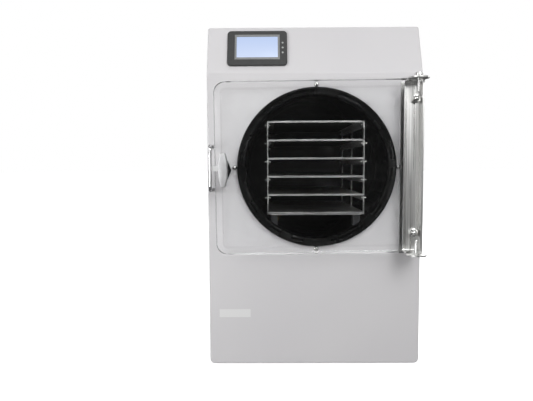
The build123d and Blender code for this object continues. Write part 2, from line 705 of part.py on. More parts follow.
# ================================================================ tray rack
RACK_Y = FRONT_Y + RACK_FRONT
RACK_END = RACK_Y + RACK_DEPTH
SHELF_HALF = RACK_W / 2 - SIDE_STRIP_T
SHELF_ZS = [CHAMBER_Z + LOWEST_SHELF + n * SHELF_PITCH for n in range(SHELF_COUNT)]
RACK_BASE_Z = SHELF_ZS[0] - RACK_BASE_DROP
STRIP_YS = [
    RACK_Y + SIDE_STRIP_W / 2 + n * (RACK_DEPTH - SIDE_STRIP_W) / (SIDE_STRIPS - 1)
    for n in range(SIDE_STRIPS)
]
RACK_SCREW_PLACES = [(y, z - RACK_SCREW_DROP) for z in SHELF_ZS[1:] for y in (STRIP_YS[0], STRIP_YS[-1])]

for number, shelf_z in enumerate(SHELF_ZS, start=1):
    with BuildPart() as shelf:
        with BuildSketch(Plane.XY.offset(shelf_z - SHELF_T)):
            with Locations((CHAMBER_X, (RACK_Y + RACK_END) / 2)):
                Rectangle(2 * SHELF_HALF, RACK_DEPTH)
        extrude(amount=SHELF_T)
        with BuildSketch(Plane.XY.offset(shelf_z)):
            with Locations((CHAMBER_X, RACK_Y + SHELF_T / 2)):
                Rectangle(2 * SHELF_HALF, SHELF_T)
        extrude(amount=-SHELF_LIP)
        if number > 1:
            with BuildSketch(Plane.XY.offset(shelf_z)):
                for side in (-1, 1):
                    with Locations((CHAMBER_X + side * (SHELF_HALF - SHELF_T / 2), (RACK_Y + RACK_END) / 2)):
                        Rectangle(SHELF_T, RACK_DEPTH)
            extrude(amount=-SHELF_SIDE)
            for side in (-1, 1):
                bore(
                    across(CHAMBER_X + side * SHELF_HALF),
                    RACK_SCREW_PLACES,
                    RACK_SCREW_R + SCREW_FIT / 2,
                    -side * 2 * SHELF_T,
                )
            fillet(
                shelf.edges().filter_by(Axis.Y).group_by(Axis.Z)[-1],
                radius=SHELF_T,
            )
    save(shelf.part, f"shelf_{number}")


with BuildPart() as rack_frame:
    with BuildSketch(Plane.XY.offset(RACK_BASE_Z - RACK_BASE_T)) as base_outline:
        with Locations((CHAMBER_X, (RACK_Y + RACK_END) / 2)):
            Rectangle(RACK_W, RACK_DEPTH)
        chamfer(base_outline.vertices(), length=RACK_BASE_CORNER)
    extrude(amount=RACK_BASE_T)
    for side in (-1, 1):
        with BuildSketch(across(CHAMBER_X + side * SHELF_HALF)):
            for y in STRIP_YS:
                with Locations((y, (SHELF_ZS[-1] + RACK_BASE_Z) / 2)):
                    Rectangle(SIDE_STRIP_W, SHELF_ZS[-1] - RACK_BASE_Z)
            with Locations(((RACK_Y + RACK_END) / 2, RACK_BASE_Z + RACK_BASE_DROP / 2)):
                Rectangle(RACK_DEPTH, RACK_BASE_DROP)
        extrude(amount=side * SIDE_STRIP_T)
        bore(
            across(CHAMBER_X + side * SHELF_HALF),
            RACK_SCREW_PLACES,
            RACK_SCREW_R + SCREW_FIT / 2,
            side * 2 * SIDE_STRIP_T,
        )
save(rack_frame.part, "rack_frame")

with BuildPart() as rack_screws:
    for side in (-1, 1):
        with BuildSketch(across(CHAMBER_X + side * (RACK_W / 2 + RACK_SCREW_OUT))):
            with Locations(*RACK_SCREW_PLACES):
                Circle(RACK_SCREW_R)
        extrude(amount=-side * (RACK_SCREW_OUT + SIDE_STRIP_T + SHELF_T + RACK_SCREW_IN))
        with BuildSketch(across(CHAMBER_X + side * RACK_W / 2)):
            with Locations(*RACK_SCREW_PLACES):
                RegularPolygon(2 * RACK_SCREW_R, 6)
        extrude(amount=side * RACK_SCREW_R)
save(rack_screws.part, "rack_screws")

with BuildPart() as rack_pads:
    pad_x = RACK_W / 2 - RACK_BASE_CORNER - PAD_W / 2
    with BuildSketch(Plane.XY.offset(RACK_BASE_Z - RACK_BASE_T)):
        for side in (-1, 1):
            with Locations(
                (CHAMBER_X + side * pad_x, RACK_Y + RACK_BASE_CORNER + PAD_L / 2),
                (CHAMBER_X + side * pad_x, RACK_END - RACK_BASE_CORNER - PAD_L / 2),
            ):
                Rectangle(PAD_W, PAD_L)
    extrude(amount=-CHAMBER_R)
    with BuildSketch(facing(RIM_Y)):
        with Locations((CHAMBER_X, CHAMBER_Z)):
            Circle(CHAMBER_R)
    extrude(amount=-CHAMBER_DEPTH, mode=Mode.INTERSECT)
save(rack_pads.part, "rack_pads")

with BuildPart() as shelf_heaters:
    for shelf_z in SHELF_ZS[1:]:
        with BuildSketch(Plane.XY.offset(shelf_z - SHELF_T)):
            with Locations((CHAMBER_X, (RACK_Y + RACK_END) / 2)):
                Rectangle(2 * (SHELF_HALF - HEATER_MARGIN), RACK_DEPTH - 2 * HEATER_MARGIN)
        extrude(amount=-HEATER_T)
save(shelf_heaters.part, "shelf_heaters")

# ================================================================ door and hinge
door_plane = facing(DOOR_BACK)
DOOR_X = (DOOR_LEFT + DOOR_RIGHT) / 2
NUT_PLACES = [(HINGE_X + dx, DOOR_Z + dz) for dx, dz in CHANNEL_NUTS]

with BuildPart() as door_plate:
    with BuildSketch(door_plane):
        with Locations(Location((DOOR_X, DOOR_Z, 0), (0, 0, DOOR_SAG_DEG))):
            RectangleRounded(DOOR_RIGHT - DOOR_LEFT, DOOR_H, DOOR_CORNER_R)
    extrude(amount=DOOR_T)
    chamfer(door_plate.faces().filter_by(Axis.Y).edges(), length=DOOR_CHAMFER)
    bore(door_plane, NUT_PLACES, BOLT_R + BOLT_FIT, DOOR_T)
    bore(door_plane, [(LATCH_X, LATCH_Z)], BUSH_R + BOLT_FIT, DOOR_T)
save(door_plate.part, "door_plate")


def lobe_outline(left, right, back, clip_left):
    """A flange in plan: a full round lobe about the pin, widening back to its plate."""
    with BuildLine() as flange:
        start = (HINGE_X - LOBE_R, HINGE_Y)
        end = (HINGE_X + right, HINGE_Y - sqrt(LOBE_R**2 - right**2))
        RadiusArc(start, end, -LOBE_R, short_sagitta=False)
        Polyline(end, (HINGE_X + right, back), (HINGE_X - left, back), (HINGE_X - left, clip_left), start)
    make_face(flange.line)


CHANNEL_LOW = DOOR_Z - CHANNEL_H / 2

with BuildPart() as hinge_channel:
    with BuildSketch(Plane.XY.offset(CHANNEL_LOW)):
        with Locations((HINGE_X + (CHANNEL_RIGHT - CHANNEL_LEFT) / 2, DOOR_FRONT - HINGE_PLATE_T / 2)):
            Rectangle(CHANNEL_LEFT + CHANNEL_RIGHT, HINGE_PLATE_T)
        with Locations((HINGE_X + CHANNEL_RIGHT - HINGE_PLATE_T / 2, CHANNEL_FRONT - CHANNEL_FLANGE / 2)):
            Rectangle(HINGE_PLATE_T, CHANNEL_FLANGE)
    extrude(amount=CHANNEL_H)
    for flange_z in (CHANNEL_LOW, CHANNEL_LOW + CHANNEL_H - HINGE_PLATE_T):
        with BuildSketch(Plane.XY.offset(flange_z)):
            lobe_outline(CHANNEL_LEFT, CHANNEL_RIGHT, DOOR_FRONT, CHANNEL_FRONT)
        extrude(amount=HINGE_PLATE_T)
    bore(Plane.XY.offset(CHANNEL_LOW), [(HINGE_X, HINGE_Y)], PIN_R + PIN_FIT, CHANNEL_H)
    bore(facing(DOOR_FRONT), NUT_PLACES, BOLT_R + BOLT_FIT, HINGE_PLATE_T)
    level = hinge_channel.edges().filter_by(Axis.X)
    fillet(level.filter_by_position(Axis.Y, CHANNEL_FRONT - 0.1, CHANNEL_FRONT + 0.1), radius=CHANNEL_BEND_R)
    level = hinge_channel.edges().filter_by(Axis.X)
    outer = level.filter_by_position(Axis.Y, DOOR_FRONT - 0.1, DOOR_FRONT + 0.1)
    fillet(outer, radius=CHANNEL_BEND_R + HINGE_PLATE_T)
save(hinge_channel.part, "hinge_channel")

EAR_LOW = CHANNEL_LOW - EAR_GAP - HINGE_PLATE_T
EAR_HIGH = CHANNEL_LOW + CHANNEL_H + EAR_GAP
WEB_IN = HINGE_X + CHANNEL_RIGHT + WEB_GAP
WEB_OUT = WEB_IN + HINGE_PLATE_T
EAR_BACK = HINGE_Y + 16.0
ARM_LEFT = DOOR_RIGHT + ARM_GAP

with BuildPart() as hinge_bracket:
    for ear_z in (EAR_LOW, EAR_HIGH):
        with BuildSketch(Plane.XY.offset(ear_z)):
            with Locations((HINGE_X, HINGE_Y)):
                Circle(LOBE_R)
            with BuildLine():
                Polyline(
                    (HINGE_X - LOBE_R, HINGE_Y),
                    (WEB_OUT, HINGE_Y),
                    (WEB_OUT, FRONT_Y),
                    (ARM_LEFT, FRONT_Y),
                    (ARM_LEFT, EAR_BACK),
                    (HINGE_X - LOBE_R, EAR_BACK),
                    close=True,
                )
            make_face()
        extrude(amount=HINGE_PLATE_T)
    with BuildSketch(Plane.XY.offset(EAR_LOW)):
        with Locations(((WEB_IN + WEB_OUT) / 2, (FRONT_Y + HINGE_Y + WEB_SHORT) / 2)):
            Rectangle(HINGE_PLATE_T, HINGE_FORWARD - WEB_SHORT)
        with Locations(((HINGE_X - BRACKET_LEFT + WEB_OUT) / 2, FRONT_Y - HINGE_PLATE_T / 2)):
            Rectangle(WEB_OUT - HINGE_X + BRACKET_LEFT, HINGE_PLATE_T)
    extrude(amount=EAR_HIGH + HINGE_PLATE_T - EAR_LOW)
    bore(Plane.XY.offset(EAR_LOW), [(HINGE_X, HINGE_Y)], PIN_R + PIN_FIT, CHANNEL_H + CHAMBER_R)
    bore(facing(FRONT_Y), BRACKET_SCREW_PLACES, SCREW_R + SCREW_FIT, HINGE_PLATE_T)
    bore(
        facing(FRONT_Y),
        [CHAMBER_SCREW_PLACES[1]],
        SCREW_HEAD_R + 4 * SCREW_GASKET_GAP,
        HINGE_PLATE_T,
    )
save(hinge_bracket.part, "hinge_bracket")


def round_rod(x, y, sections):
    """An upright turned rod: each section is (radius, low z, high z)."""
    for radius, low, high in sections:
        with BuildSketch(Plane.XY.offset(low)) as section:
            with Locations((x, y)):
                Circle(radius)
        extrude(section.sketch, amount=high - low)


TOP_FACE = EAR_HIGH + HINGE_PLATE_T
TOP_FLANGE_LOW = CHANNEL_LOW + CHANNEL_H - HINGE_PLATE_T
BOTTOM_FLANGE_HIGH = CHANNEL_LOW + HINGE_PLATE_T

with BuildPart() as top_pin:
    round_rod(
        HINGE_X,
        HINGE_Y,
        ((PIN_R, TOP_FLANGE_LOW - TOP_PIN_DROP, TOP_FACE), (PIN_HEAD_R, TOP_FACE, TOP_FACE + PIN_HEAD_H)),
    )
    chamfer(top_pin.edges().group_by(Axis.Z)[0], length=2, length2=1.5)
    fillet(top_pin.edges().group_by(Axis.Z)[-1], radius=1)

with BuildPart() as bottom_pin:
    round_rod(
        HINGE_X,
        HINGE_Y,
        (
            (PIN_R, EAR_LOW, BOTTOM_FLANGE_HIGH + BOTTOM_PIN_RISE),
            (2 * PIN_R, EAR_LOW - HINGE_PLATE_T, EAR_LOW),
        ),
    )
    fillet(bottom_pin.edges().group_by(Axis.Z)[-1], radius=PIN_R * 0.8)

with BuildPart() as hinge_pins:
    add(top_pin.part)
    add(bottom_pin.part)
save(hinge_pins.part, "hinge_pins")

with BuildPart() as channel_nuts:
    with BuildSketch(facing(CHANNEL_FRONT)):
        with Locations(*NUT_PLACES):
            RegularPolygon(NUT_HEX_R, 6, rotation=30)
    extrude(amount=NUT_H)
    with BuildSketch(facing(DOOR_BACK + 2 * DOOR_CHAMFER)):
        with Locations(*NUT_PLACES):
            Circle(BOLT_R)
    extrude(amount=DOOR_BACK + 2 * DOOR_CHAMFER - CHANNEL_FRONT)
    with BuildSketch(facing(DOOR_BACK)):
        with Locations(*NUT_PLACES):
            Circle(2 * BOLT_R)
    extrude(amount=-2 * DOOR_CHAMFER)
    for x, z in NUT_PLACES:
        with Locations((x, CHANNEL_FRONT - NUT_H, z)):
            Sphere(NUT_DOME_R)
    split(bisect_by=Plane.XZ.offset(-(DOOR_BACK + 2 * DOOR_CHAMFER)), keep=Keep.TOP)
save(channel_nuts.part, "channel_nuts")


# ================================================================ latch and keeper
def latch_outline(top_w, middle_w, bottom_w, middle_h, height):
    """A long eight-sided outline about the spindle axis, drawn as the front view."""
    with BuildLine() as outline:
        Polyline(
            (LATCH_X - bottom_w / 2, LATCH_Z - height / 2),
            (LATCH_X + bottom_w / 2, LATCH_Z - height / 2),
            (LATCH_X + middle_w / 2, LATCH_Z - middle_h / 2),
            (LATCH_X + middle_w / 2, LATCH_Z + middle_h / 2),
            (LATCH_X + top_w / 2, LATCH_Z + height / 2),
            (LATCH_X - top_w / 2, LATCH_Z + height / 2),
            (LATCH_X - middle_w / 2, LATCH_Z + middle_h / 2),
            (LATCH_X - middle_w / 2, LATCH_Z - middle_h / 2),
            close=True,
        )
    make_face(outline.line)


ESCUTCHEON_FRONT = DOOR_FRONT - ESCUTCHEON_T

with BuildPart() as latch_escutcheon:
    with BuildSketch(facing(DOOR_FRONT)):
        latch_outline(ESCUTCHEON_W / 2, ESCUTCHEON_W, ESCUTCHEON_W / 2, ESCUTCHEON_TIP_H, ESCUTCHEON_H)
    extrude(amount=ESCUTCHEON_T)
    chamfer(latch_escutcheon.faces().sort_by(Axis.Y)[0].edges(), length=1.2)
    with BuildSketch(facing(DOOR_FRONT)):
        with Locations((LATCH_X, LATCH_Z)):
            Circle(BUSH_R)
    extrude(amount=-(DOOR_T + LATCH_NUT_H))
    bore(facing(ESCUTCHEON_FRONT), [(LATCH_X, LATCH_Z)], SPINDLE_R + SPINDLE_FIT, -2 * DOOR_T)
save(latch_escutcheon.part, "latch_escutcheon")

with BuildPart() as latch_nut:
    with BuildSketch(facing(DOOR_BACK)):
        with Locations((LATCH_X, LATCH_Z)):
            RegularPolygon(LATCH_NUT_R, 6)
            Circle(BUSH_R, mode=Mode.SUBTRACT)
    extrude(amount=-LATCH_NUT_H)
save(latch_nut.part, "latch_nut")

NOSE_BACK = ESCUTCHEON_FRONT - NOSE_GAP
NOSE_FRONT = NOSE_BACK - NOSE_T
WING_BACK = FRONT_Y - WING_FRONT + WING_T
NOSE_END = KEEPER_X + KEEPER_R + NOSE_BAR_GAP

with BuildPart() as latch_wing:
    with BuildSketch(facing(WING_BACK)):
        latch_outline(WING_TOP_W, WING_W, WING_BOTTOM_W, WING_MIDDLE_H, WING_H)
    extrude(amount=WING_T)
    chamfer(latch_wing.faces().sort_by(Axis.Y)[0].edges(), length=WING_BEVEL)
    with BuildSketch(facing(WING_BACK)):
        with Locations((LATCH_X, LATCH_Z)):
            Circle(BUSH_R)
    extrude(amount=-(NOSE_FRONT - NOSE_GAP / 5 - WING_BACK))
    with BuildSketch(facing(WING_BACK)):
        with Locations((LATCH_X, LATCH_Z)):
            Circle(SPINDLE_R)
    extrude(amount=-(DOOR_BACK - WING_BACK))
save(latch_wing.part, "latch_wing")

with BuildPart() as latch_nose:
    with BuildSketch(facing(NOSE_BACK)) as nose_outline:
        with Locations((LATCH_X, LATCH_Z)):
            Circle(BUSH_R + 1)
        with Locations(((NOSE_END + LATCH_X) / 2, LATCH_Z + NOSE_RAISE)):
            Rectangle(LATCH_X - NOSE_END, NOSE_H)
        with Locations((LATCH_X, LATCH_Z)):
            Circle(SPINDLE_R, mode=Mode.SUBTRACT)
    extrude(amount=NOSE_T)
    fillet(latch_nose.edges().filter_by(Axis.Y).group_by(Axis.X)[0], radius=2)
save(latch_nose.part, "latch_nose")

with BuildPart() as keeper_bar:
    with BuildLine():
        low, high = KEEPER_LEGS
        end_y = FRONT_Y + SHEET + KEEPER_BEND_R
        FilletPolyline(
            (low[0], end_y, low[1]),
            (low[0], KEEPER_Y, low[1]),
            (high[0], KEEPER_Y, high[1]),
            (high[0], end_y, high[1]),
            radius=KEEPER_BEND_R,
        )
    with BuildSketch(Plane(origin=(low[0], end_y, low[1]), z_dir=(0, -1, 0))):
        Circle(KEEPER_R)
    sweep()
save(keeper_bar.part, "keeper_bar")

# ================================================================ touch panel and label
hmi_plane = console(HMI_X, HMI_UP)
LIGHTS = [(LIGHT_X, SCREEN_UP - 2.0 + n * LIGHT_PITCH) for n in (-1, 0, 1)]

with BuildPart() as hmi_bezel:
    with BuildSketch(hmi_plane):
        RectangleRounded(HMI_W, HMI_H, HMI_CORNER_R)
    extrude(amount=HMI_T)
    fillet(hmi_bezel.faces().sort_by(Axis.Y)[0].edges(), radius=1.5)
    with BuildSketch(hmi_plane.offset(HMI_T)):
        with Locations((0, SCREEN_UP)):
            Rectangle(SCREEN_W, SCREEN_H)
    extrude(amount=-SCREEN_T, mode=Mode.SUBTRACT)
    bore(hmi_plane.offset(HMI_T), LIGHTS, LIGHT_R + SCREEN_FIT, -SCREEN_T)
save(hmi_bezel.part, "hmi_bezel")

with BuildPart() as hmi_screen:
    with BuildSketch(hmi_plane.offset(HMI_T - SCREEN_T)):
        with Locations((0, SCREEN_UP)):
            Rectangle(SCREEN_W - 2 * SCREEN_FIT, SCREEN_H - 2 * SCREEN_FIT)
    extrude(amount=SCREEN_T - SCREEN_FIT)
save(hmi_screen.part, "hmi_screen")

with BuildPart() as status_lights:
    with BuildSketch(hmi_plane.offset(HMI_T - SCREEN_T)):
        with Locations(*LIGHTS):
            Circle(LIGHT_R)
    extrude(amount=SCREEN_T + SCREEN_FIT)
save(status_lights.part, "status_lights")

with BuildPart() as hmi_housing:
    with BuildSketch(hmi_plane):
        Rectangle(HMI_BACK_W, HMI_BACK_H)
    extrude(amount=-HMI_BACK_D)
save(hmi_housing.part, "hmi_housing")

with BuildPart() as blank_label:
    with BuildSketch(facing(FRONT_Y)):
        with Locations((LABEL_X, BASE_Z + LABEL_Z)):
            RectangleRounded(LABEL_W, LABEL_H, LABEL_T)
    extrude(amount=LABEL_T)
save(blank_label.part, "blank_label")

# ================================================================ refrigeration
COMPRESSOR_PLACE = (COMPRESSOR_X, FRONT_Y + COMPRESSOR_Y)
COMPRESSOR_BASE = PAN_TOP + MOUNT_H

with BuildPart() as compressor:
    with BuildSketch(Plane.XY.offset(COMPRESSOR_BASE)):
        with Locations(COMPRESSOR_PLACE):
            Rectangle(MOUNT_SPACING + 2 * MOUNT_R, MOUNT_SPACING / 2 + 2 * MOUNT_R)
    extrude(amount=COMPRESSOR_PLATE_T)
    with BuildSketch(Plane.XY.offset(COMPRESSOR_BASE + COMPRESSOR_PLATE_T)):
        with Locations(COMPRESSOR_PLACE):
            Circle(COMPRESSOR_R)
    extrude(amount=COMPRESSOR_H)
    fillet(compressor.edges().group_by(Axis.Z)[-1], radius=COMPRESSOR_R * 0.55)
save(compressor.part, "compressor")

with BuildPart() as compressor_mounts:
    with BuildSketch(Plane.XY.offset(PAN_TOP)):
        with Locations(COMPRESSOR_PLACE):
            with GridLocations(MOUNT_SPACING, MOUNT_SPACING / 2, 2, 2):
                Circle(MOUNT_R)
    extrude(amount=MOUNT_H)
save(compressor_mounts.part, "compressor_mounts")

CONDENSER_FRONT = FRONT_Y + CONDENSER_Y
CONDENSER_BACK = CONDENSER_FRONT + CONDENSER_T
CONDENSER_Z = PAN_TOP + CONDENSER_H / 2

with BuildPart() as condenser_coil:
    with BuildSketch(facing(CONDENSER_FRONT)):
        with Locations((0, CONDENSER_Z)):
            Rectangle(CONDENSER_W, CONDENSER_H)
    extrude(amount=-CONDENSER_T)
    row_pitch = CONDENSER_H / CONDENSER_ROWS
    for side in (-1, 1):
        with BuildSketch(across(side * CONDENSER_W / 2)):
            for row in range(CONDENSER_ROWS):
                with Locations(
                    ((CONDENSER_FRONT + CONDENSER_BACK) / 2, PAN_TOP + (row + 0.5) * row_pitch)
                ):
                    SlotOverall(CONDENSER_T - 2 * CONDENSER_TUBE_R, 2 * CONDENSER_TUBE_R)
        extrude(amount=side * 2 * CONDENSER_TUBE_R)
save(condenser_coil.part, "condenser_coil")

SHROUD_BACK = CONDENSER_BACK + SHROUD_T
FAN_Z = CONDENSER_Z
MOTOR_FRONT = SHROUD_BACK + FAN_DEPTH + 4.0

with BuildPart() as fan_shroud:
    with BuildSketch(facing(CONDENSER_BACK)):
        with Locations((0, CONDENSER_Z)):
            Rectangle(CONDENSER_W, CONDENSER_H)
            Circle(FAN_R + SHROUD_BORE_GAP, mode=Mode.SUBTRACT)
    extrude(amount=-SHROUD_T)
save(fan_shroud.part, "fan_shroud")

with BuildPart() as fan_motor:
    with BuildSketch(facing(MOTOR_FRONT)):
        with Locations((0, FAN_Z)):
            Circle(MOTOR_R)
            Rectangle(2 * FAN_R + 4 * MOTOR_ARM_W, MOTOR_ARM_W)
    extrude(amount=-MOTOR_ARM_W)
    with BuildSketch(facing(MOTOR_FRONT)):
        with Locations((0, FAN_Z)):
            Circle(MOTOR_R)
    extrude(amount=-MOTOR_L)
    with BuildSketch(facing(SHROUD_BACK)):
        for side in (-1, 1):
            with Locations((side * (FAN_R + 1.5 * MOTOR_ARM_W), FAN_Z)):
                Rectangle(MOTOR_ARM_W, MOTOR_ARM_W)
    extrude(amount=-(MOTOR_FRONT + MOTOR_ARM_W - SHROUD_BACK))
    with BuildSketch(facing(MOTOR_FRONT)):
        with Locations((0, FAN_Z)):
            Circle(FAN_SHAFT_R)
    extrude(amount=FAN_DEPTH)
save(fan_motor.part, "fan_motor")

with BuildPart() as fan_blade:
    hub_back = MOTOR_FRONT - 2.0
    with BuildSketch(facing(hub_back)):
        with Locations((0, FAN_Z)):
            Circle(FAN_HUB_R)
            Circle(FAN_SHAFT_R + FAN_SHAFT_FIT, mode=Mode.SUBTRACT)
    extrude(amount=FAN_DEPTH * 0.8)
    blade_axis = Plane(origin=(0, hub_back - FAN_DEPTH * 0.4, FAN_Z), x_dir=(1, 0, 0), z_dir=(0, -1, 0))
    for place in PolarLocations(FAN_HUB_R - 2.0, FAN_BLADES):
        blade_plane = Plane(blade_axis.location * place * Location((0, 0, 0), (0, 90, 0)))
        with BuildSketch(blade_plane):
            with Locations(Location((0, 0, 0), (0, 0, 35))):
                Rectangle(FAN_BLADE_T, FAN_HUB_R)
        extrude(amount=FAN_R - FAN_HUB_R)
save(fan_blade.part, "fan_blade")

DRIER_PLACE = (DRIER_X, FRONT_Y + DRIER_Y)
DRIER_Z = PAN_TOP + DRIER_RISE
DRIER_TOP = DRIER_Z + DRIER_L

def tube(points, bend, radius):
    """A bent tube through corner points, with the same bend radius at every corner."""
    with BuildPart() as run:
        with BuildLine() as route:
            FilletPolyline(*points, radius=bend)
        start = route.line
        with BuildSketch(Plane(origin=start @ 0, z_dir=start % 0)):
            Circle(radius)
        sweep()
    return run.part


COMPRESSOR_TOP = COMPRESSOR_BASE + COMPRESSOR_PLATE_T + COMPRESSOR_H
CONDENSER_SIDE = CONDENSER_W / 2 + 2 * CONDENSER_TUBE_R
TOP_ROW_Z = PAN_TOP + (CONDENSER_ROWS - 0.5) * CONDENSER_H / CONDENSER_ROWS
LOW_ROW_Z = PAN_TOP + 0.5 * CONDENSER_H / CONDENSER_ROWS
CONDENSER_MID = (CONDENSER_FRONT + CONDENSER_BACK) / 2
SUCTION_Z = COMPRESSOR_TOP - SUCTION_DROP
CAPILLARY_Z = DRIER_TOP + CAPILLARY_RISE
COIL_BACK = COIL_END + COIL_TUBE_R

discharge_line = tube(
    (
        (-CONDENSER_SIDE, CONDENSER_MID, TOP_ROW_Z),
        (-CONDENSER_SIDE - DISCHARGE_OUT, CONDENSER_MID, TOP_ROW_Z),
        (-CONDENSER_SIDE - DISCHARGE_OUT, COMPRESSOR_PLACE[1], TOP_ROW_Z),
        (COMPRESSOR_X - COMPRESSOR_R, COMPRESSOR_PLACE[1], TOP_ROW_Z),
    ),
    LINE_BEND,
    LINE_R,
)
save(discharge_line, "discharge_line")

LIQUID_ROUTE = (
    (CONDENSER_SIDE, CONDENSER_MID, LOW_ROW_Z),
    (DRIER_PLACE[0], CONDENSER_MID, LOW_ROW_Z),
    (DRIER_PLACE[0], DRIER_PLACE[1], LOW_ROW_Z),
    (DRIER_PLACE[0], DRIER_PLACE[1], DRIER_Z),
)
CAPILLARY_ROUTE = (
    (DRIER_PLACE[0], DRIER_PLACE[1], DRIER_TOP),
    (DRIER_PLACE[0], DRIER_PLACE[1], CAPILLARY_Z),
    (CHAMBER_X - COIL_R, DRIER_PLACE[1], CAPILLARY_Z),
    (CHAMBER_X - COIL_R, DRIER_PLACE[1], CHAMBER_Z),
    (CHAMBER_X - COIL_R, COIL_BACK, CHAMBER_Z),
)

with BuildPart() as filter_drier:
    with BuildSketch(Plane.XY.offset(DRIER_Z)):
        with Locations(DRIER_PLACE):
            Circle(DRIER_R)
    extrude(amount=DRIER_L)
    fillet(filter_drier.edges().filter_by(GeomType.CIRCLE), radius=DRIER_R / 2)
    with BuildSketch(Plane.XY.offset(PAN_TOP)):
        with Locations((DRIER_PLACE[0] + DRIER_R, DRIER_PLACE[1])):
            Rectangle(DRIER_STRAP_W, DRIER_R)
    extrude(amount=DRIER_RISE + DRIER_L / 2)
    add(tube(LIQUID_ROUTE, LINE_BEND, LINE_R))
    add(tube(CAPILLARY_ROUTE, LINE_BEND, CAPILLARY_R))
save(filter_drier.part, "filter_drier")

suction_line = tube(
    (
        (CHAMBER_X + COIL_R, COIL_BACK, CHAMBER_Z),
        (CHAMBER_X + COIL_R, COMPRESSOR_PLACE[1], CHAMBER_Z),
        (CHAMBER_X + COIL_R, COMPRESSOR_PLACE[1], SUCTION_Z),
        (COMPRESSOR_X + COMPRESSOR_R, COMPRESSOR_PLACE[1], SUCTION_Z),
    ),
    LINE_BEND,
    SUCTION_R,
)
save(suction_line, "suction_line")

# ================================================================ electronics
TRAY_FRONT = FRONT_Y + TRAY_Y

with BuildPart() as electronics_tray:
    with BuildSketch(Plane.XY.offset(TRAY_Z)):
        with Locations((0, TRAY_FRONT + TRAY_D / 2)):
            Rectangle(2 * (FRAME_X - FRAME_T), TRAY_D)
    extrude(amount=TRAY_T)
    with BuildSketch(Plane.XY.offset(TRAY_Z)):
        for y in (TRAY_FRONT + TRAY_T / 2, TRAY_FRONT + TRAY_D - TRAY_T / 2):
            with Locations((0, y)):
                Rectangle(2 * (FRAME_X - FRAME_LEG), TRAY_T)
    extrude(amount=PAN_EDGE)
save(electronics_tray.part, "electronics_tray")

BOARD_X = 90.0
SUPPLY_X = -100.0

with BuildPart() as control_board:
    with BuildSketch(Plane.XY.offset(TRAY_TOP)):
        with Locations((BOARD_X, TRAY_FRONT + TRAY_D / 2)):
            with GridLocations(150, 110, 2, 2):
                Circle(4)
    extrude(amount=STANDOFF_H)
    with BuildSketch(Plane.XY.offset(TRAY_TOP + STANDOFF_H)):
        with Locations((BOARD_X, TRAY_FRONT + TRAY_D / 2)):
            Rectangle(170, 130)
    extrude(amount=BOARD_T)
    with BuildSketch(Plane.XY.offset(TRAY_TOP + STANDOFF_H + BOARD_T)):
        with Locations((BOARD_X, TRAY_FRONT + TRAY_D / 2)):
            with GridLocations(36, 80, 4, 2):
                Rectangle(20, 16)
            Rectangle(34, 34)
    extrude(amount=14)
save(control_board.part, "control_board")

with BuildPart() as power_supply:
    with BuildSketch(Plane.XY.offset(TRAY_TOP)):
        with Locations((SUPPLY_X, TRAY_FRONT + TRAY_D / 2)):
            Rectangle(110, 200)
    extrude(amount=50)
    chamfer(power_supply.edges().group_by(Axis.Z)[-1], length=2)
save(power_supply.part, "power_supply")

# ================================================================ rear fittings
PORT_Z = BASE_Z + PORT_H
DRAIN_Z = BASE_Z + DRAIN_H
PORT_START = RIM_Y + CHAMBER_DEPTH
PORT_END = REAR_Y + PORT_REACH

with BuildPart() as vacuum_port:
    with BuildSketch(facing(PORT_START)):
        with Locations((PORT_X, PORT_Z)):
            Circle(PORT_PIPE_R)
    extrude(amount=-(PORT_END - PORT_START))
    with BuildSketch(facing(PORT_END)):
        with Locations((PORT_X, PORT_Z)):
            Circle(PORT_FLANGE_R)
    extrude(amount=PORT_FLANGE_T)
    with BuildSketch(facing(REAR_Y)):
        with Locations((PORT_X, PORT_Z)):
            Circle(PORT_FLANGE_R)
    extrude(amount=-PORT_FLANGE_T)
    with BuildSketch(facing(PORT_START)):
        with Locations((PORT_X, PORT_Z)):
            Circle(PORT_PIPE_R - PORT_PIPE_WALL)
    extrude(amount=-(PORT_END - PORT_START), mode=Mode.SUBTRACT)
save(vacuum_port.part, "vacuum_port")

DRAIN_START = (DRAIN_X, PORT_START, DRAIN_Z + 80.0)
VALVE_FRONT = REAR_Y + 12.0
VALVE_BACK = VALVE_FRONT + DRAIN_BODY_L
LEVER_Z = DRAIN_Z + DRAIN_BODY_R + STEM_H
LEVER_Y = (VALVE_FRONT + VALVE_BACK) / 2

with BuildPart() as drain_valve_body:
    add(
        tube(
            (
                DRAIN_START,
                (DRAIN_X, INSULATION_END + 45.0, DRAIN_Z + 80.0),
                (DRAIN_X, INSULATION_END + 45.0, DRAIN_Z),
                (DRAIN_X, REAR_Y + REAR_REACH, DRAIN_Z),
            ),
            2.5 * DRAIN_PIPE_R,
            DRAIN_PIPE_R,
        )
    )
    with BuildSketch(facing(VALVE_FRONT)):
        with Locations((DRAIN_X, DRAIN_Z)):
            RegularPolygon(DRAIN_BODY_R * 1.15, 6)
    extrude(amount=-DRAIN_BODY_L)
    with BuildSketch(Plane.XY.offset(DRAIN_Z)):
        with Locations((DRAIN_X, LEVER_Y)):
            Circle(2 * STEM_R)
    extrude(amount=LEVER_Z - DRAIN_Z - SPINDLE_FIT)
    with BuildSketch(facing(REAR_Y + REAR_REACH)):
        with Locations((DRAIN_X, DRAIN_Z)):
            Circle(DRAIN_BORE_R)
    extrude(amount=REAR_REACH - 4.0, mode=Mode.SUBTRACT)
    with BuildSketch(Plane.XY.offset(DRAIN_Z + DRAIN_BODY_R)):
        with Locations((DRAIN_X, LEVER_Y)):
            Circle(STEM_R + SPINDLE_FIT)
    extrude(amount=2 * STEM_H, mode=Mode.SUBTRACT)
save(drain_valve_body.part, "drain_valve_body")

